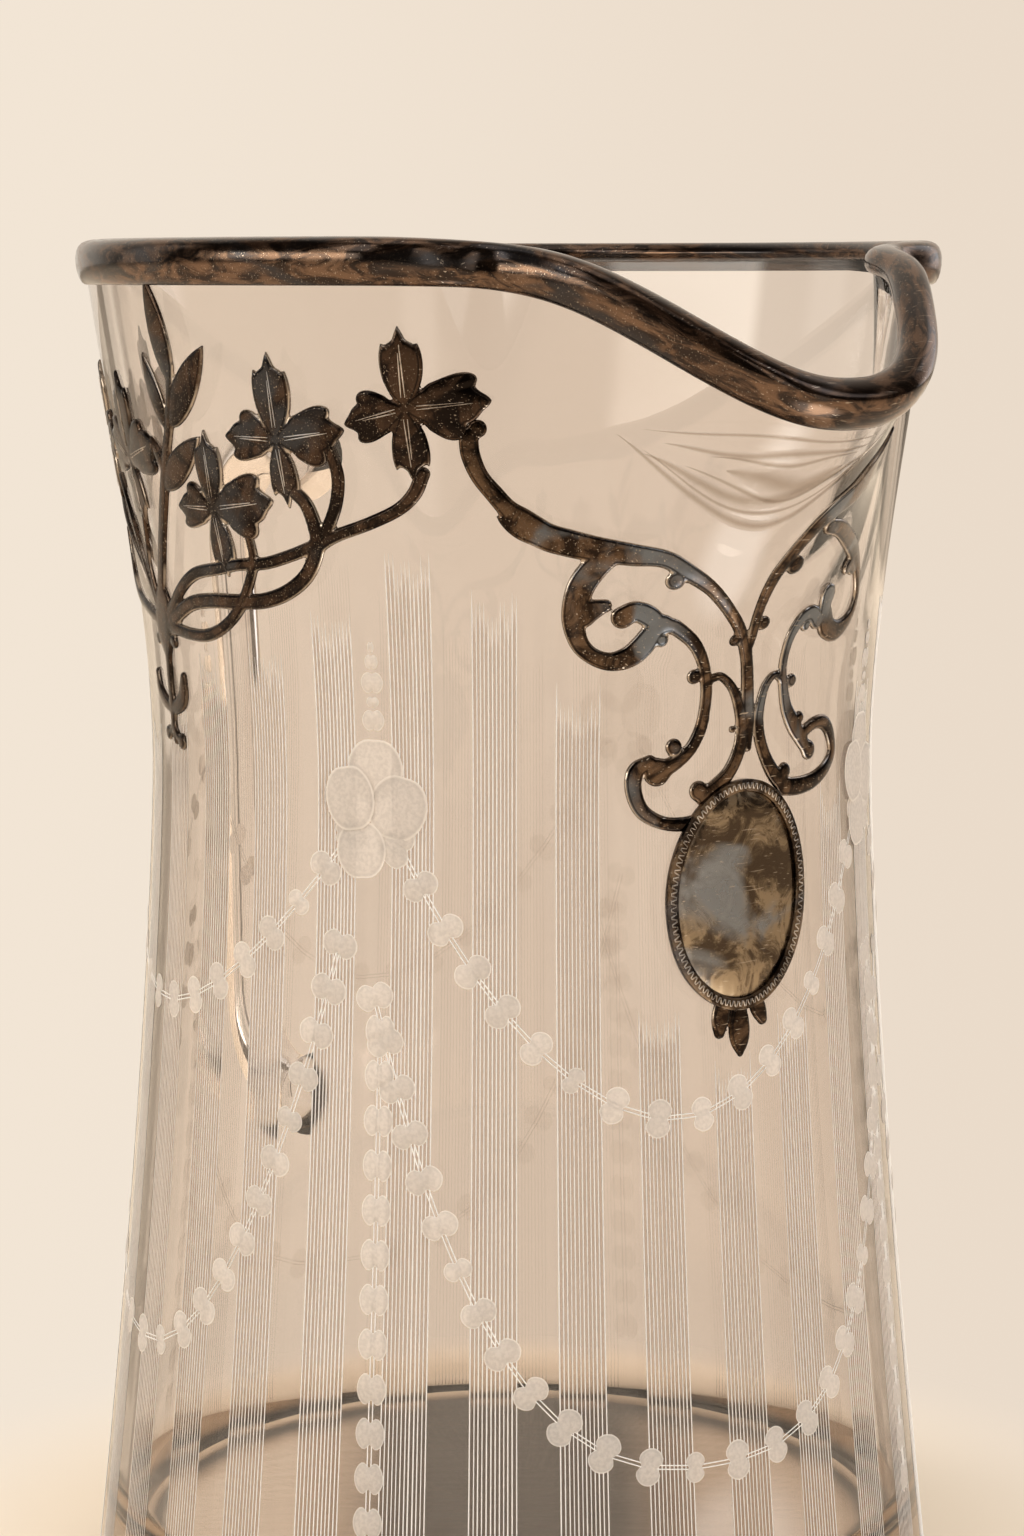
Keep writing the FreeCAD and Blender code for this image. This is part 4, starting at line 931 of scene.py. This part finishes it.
# Cut garlands
# Wheel-cut garlands of two-lobed leaves on fine double stems, hung in an upper and a deeper lower swag
# between four rosettes, with a straight pendant and a small finial at each rosette.
garland_radius, first_rosette, rosette_height, rosette_radius = 51.0, -57.8, 116.2, 48.6
leaf_rings, leaf_corners, leaf_notch = (0.0, 0.3, 0.6, 0.82, 0.91, 1.0), 32, 0.42
notch_width, leaf_foot, leaf_dome, leaf_crease = 0.16, 0.03, 0.16, 0.05
stem_aside, stem_width, stem_crest, stem_lift = 0.24, 0.17, 0.05, 0.03
# Each swag: middle from its rosette, half span, lowest height, rise, power, share drawn, spacing, leaf size.
swags = ((45.4, 45.0, 76.6, 41.0, 1.9, 0.92, 6.3, 3.9), (49.0, 49.0, 32.7, 62.0, 2.7, 0.985, 5.9, 4.1))
left_swags = ((45.4, 45.0, 87.0, 30.0, 1.9, 0.92, 6.3, 3.9), (45.0, 40.5, 41.8, 58.0, 2.4, 0.99, 5.9, 4.1))
# Each petal: across and up from the rosette, length and width in mm, its way in degrees, and its layer.
rosette_petals = (
    (-3.5, -4.2, 3.2, 2.6, 60.0, 0.0), (0.4, 4.2, 8.2, 7.4, 90.0, 0.0), (3.4, -0.4, 8.6, 7.6, 75.0, 0.12),
    (2.8, -5.6, 5.2, 3.4, 120.0, 0.0), (-1.4, -5.8, 7.6, 6.6, 95.0, 0.14), (-2.9, 0.6, 8.6, 6.6, 100.0, 0.28),
)
# Each finial leaf: its height, length and width in mm.
finial_leaves = (
    (126.6, 3.0, 2.9), (128.9, 1.5, 1.6), (131.3, 3.0, 2.9), (133.9, 2.0, 1.7), (135.7, 1.5, 0.8),
)
pendant_aside, pendant_top, pendant_step, pendant_count = 1.7, 88.0, 5.6, 13


def leaf(angle, z, length, width, lean, notch, layer=0.0):
    """A domed leaf on the wall: r = 1 - notch at both ends of its stem line, as rings round its centre."""
    turn = np.arange(leaf_corners) * 2 * np.pi / leaf_corners
    dips = [np.exp(-((wave / notch_width) ** 2)) for wave in (np.sin(turn / 2), np.cos(turn / 2))]
    edge = 1 - notch * (dips[0] + dips[1])
    rows = []
    for share in leaf_rings:
        along = share * edge * np.cos(turn) * length / 2
        across = share * edge * np.sin(turn) * width / 2
        x = along * math.cos(lean) - across * math.sin(lean)
        y = along * math.sin(lean) + across * math.cos(lean)
        lift = leaf_foot + layer + leaf_dome * (1 - share**2) + leaf_crease * np.abs(across) / width
        place = angle + np.degrees(x / wall_radius(angle, z))
        rows.append(on_wall(place, z + y, lift))
    return np.array(rows)


def swag(middle, half_span, low, rise, power, start, spacing):
    """Places along z = low + rise |u|^power, u = (angle - middle) / half span, at equal steps of arc."""
    u = np.linspace(-start, start, 400)
    angle = middle + u * half_span
    z = low + rise * np.abs(u) ** power
    run = np.concatenate([[0], np.cumsum(np.hypot(np.diff(np.radians(angle)) * garland_radius, np.diff(z)))])
    steps = np.linspace(0, run[-1], int(round(run[-1] / spacing)) + 1)
    return np.stack([np.interp(steps, run, angle), np.interp(steps, run, z)], axis=1)


leaves, stems = [], []
for quarter in range(4):
    rosette = first_rosette + 90.0 * quarter
    for middle, span, low, rise, power, start, spacing, size in left_swags if quarter == 3 else swags:
        places = swag(rosette + middle, span, low, rise, power, start, spacing)
        stems.append(places)
        flat = np.stack([np.radians(places[:, 0]) * garland_radius, places[:, 1]], axis=1)
        for k, ((angle, z), way) in enumerate(zip(places, np.gradient(flat, axis=0))):
            grown = size * (0.78 if k % 7 == 6 else 1.0) * chance.uniform(0.94, 1.06)
            leaves.append(leaf(angle, z, grown * 0.96, grown * 1.2, math.atan2(way[1], way[0]), leaf_notch))
    beads = np.arange(pendant_count)
    drop = np.stack([0 * beads + rosette + pendant_aside, pendant_top - pendant_step * beads], axis=1)
    stems.append(drop)
    for angle, z in drop:
        leaves.append(leaf(angle, z, 4.7, 3.9, math.pi / 2, leaf_notch))
    for across, up, length, width, way, layer in rosette_petals:
        angle = rosette + math.degrees(across / rosette_radius)
        leaves.append(leaf(angle, rosette_height + up, length, width, math.radians(way), 0.08, layer))
    for z, length, width in finial_leaves:
        leaves.append(leaf(rosette + 0.4, z, length, width, math.pi / 2, 0.3))
leaf_quads = np.array(ring_faces(len(leaf_rings), leaf_corners))[:, [0, 3, 2, 1]]
for name, wanted, paint in (("cut_leaves", True, leaf_white), ("cut_leaves_behind", False, cut_faint)):
    group = [rows for rows in leaves if (rows[0, 0, :2] @ towards_camera > -0.012) == wanted]
    points, faces = [], []
    for rows in group:
        faces.extend(len(points) + leaf_quads)
        points.extend(rows.reshape(-1, 3))
    garlands = mesh_from(name, points, faces)
    rim = garlands.data.attributes.new("rim", "FLOAT", "POINT")
    rim.data.foreach_set("value", np.tile(np.repeat(np.float32(leaf_rings), leaf_corners), len(group)))
    garlands.data.materials.append(paint)
    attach(garlands, "root")
pairs = {"cut_stems": [], "cut_stems_behind": []}
for places in stems:
    run = np.arange(len(places))
    fine = np.linspace(0, len(places) - 1, 8 * len(places))
    angle, z = np.interp(fine, run, places[:, 0]), np.interp(fine, run, places[:, 1])
    way = np.stack([np.gradient(np.radians(angle) * garland_radius), np.gradient(z)], axis=1)
    way /= np.linalg.norm(way, axis=1)[:, None]
    in_front = np.cos(np.radians(angle) + turn_from_lip) > -0.2
    for side in (-stem_aside, stem_aside):
        twin = np.stack([angle - np.degrees(way[:, 1] * side / garland_radius), z + way[:, 0] * side], axis=1)
        for name, chosen in (("cut_stems", in_front), ("cut_stems_behind", ~in_front)):
            if chosen.sum() > 2:
                pairs[name].append(twin[chosen])
for (name, group), paint in zip(pairs.items(), (cut_white, cut_faint)):
    stalks = ridges(name, group, [stem_width] * len(group), stem_crest, stem_lift)
    stalks.data.materials.append(paint)
    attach(stalks, "root")

# Striae in the throat
# Cords folded over each other where the hot lip was pulled out: low clear ridges with painted grey shade
# along their crests, which stands for the swirl's shading.
# Each row: first angle and height, last angle and height, sag below the line between them, and width in mm.
striae_rows = (
    (-11.5, 157.6, 3.0, 158.0, 1.9, 2.3), (-13.5, 159.3, 4.5, 159.6, 1.0, 0.5),
    (-18.5, 160.9, 6.0, 160.6, 1.6, 0.8), (-21.0, 162.6, 6.8, 161.6, 0.8, 0.4),
    (-16.0, 158.2, 4.8, 158.6, 4.3, 0.5), (-20.5, 159.6, 7.0, 160.2, 6.0, 1.3),
    (-21.0, 160.2, 7.4, 161.0, 8.8, 0.4), (-24.0, 162.0, 8.4, 162.2, 11.4, 0.9),
)
swirl_shade_grey = (0.50, 0.44, 0.37, 1.0)
cord_ripple, ripple_turns, ripple_shift, cord_widening = 0.45, 7.0, 1.7, 1.6
share = np.linspace(0.0, 1.0, 90)
belly = np.sin(np.pi * share**1.15)
striae = []
for number, (first, first_z, last, last_z, sag, width) in enumerate(striae_rows):
    ripple = cord_ripple * np.sin(ripple_turns * share + ripple_shift * number) * belly
    z = first_z + (last_z - first_z) * share - sag * belly + ripple
    striae.append(np.stack([first + (last - first) * share, z], axis=1))
cord_widths = [cord_widening * row[-1] * np.sin(np.pi * share) ** 0.7 + 0.01 for row in striae_rows]
swirl = ridges("throat_striae", striae, cord_widths, 0.03, 0.02)
crest = swirl.data.attributes.new("crest", "FLOAT", "POINT")
crest.data.foreach_set("value", np.tile(np.float32([0.0, 1.0, 0.0]), len(swirl.data.vertices) // 3))
swirl_shade, tree, surface = principled("painted_swirl_shade", {"Roughness": 0.0, "IOR": 1.01, "Transmission Weight": 1.0})
# painted shade: grey along each ridge's crest, clear at its feet
shade = faded(tree, add_node(tree, "Attribute", attribute_name="crest").outputs["Fac"], 0.0, 1.0)
tree.links.new(blended(tree, shade, (1.0, 1.0, 1.0, 1.0), swirl_shade_grey), surface.inputs["Base Color"])
swirl.data.materials.append(swirl_shade)
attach(swirl, "root")

# Bright cuts on the silver
# The engraver's bright cuts: pairs of veins along each petal, and a wriggled line round the plate.
plate_lean, plate_aside, plate_drop = math.radians(5.5), 1.3, 14.3
wriggle_across, wriggle_up, wriggle_depth = 10.0, 13.7, 0.34
turn = np.linspace(0, 2 * np.pi, 361)
wave = np.where(np.arange(361) % 4 < 2, wriggle_depth, -wriggle_depth)
x, y = (wriggle_across + wave) * np.cos(turn), (wriggle_up + wave) * np.sin(turn)
place_x = x * math.cos(plate_lean) + y * math.sin(plate_lean) - plate_aside
place_y = y * math.cos(plate_lean) - x * math.sin(plate_lean) - plate_drop
wriggle = np.stack([np.degrees(place_x / waist_radius), scroll_place[1] + place_y], axis=1)
vein_cuts = ridges("bright_cut_veins", veins, widths, 0.06, 0.59)
plate_cuts = ridges("bright_cut_border", [wriggle], [0.2], 0.08, 0.95)
bright = tarnished("bright_silver", (0.30, 0.25, 0.21), (0.75, 0.66, 0.57), (0.5, 0.5, 0.52), 0.3)
for piece in (vein_cuts, plate_cuts):
    piece.data.materials.append(bright)
    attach(piece, "root")
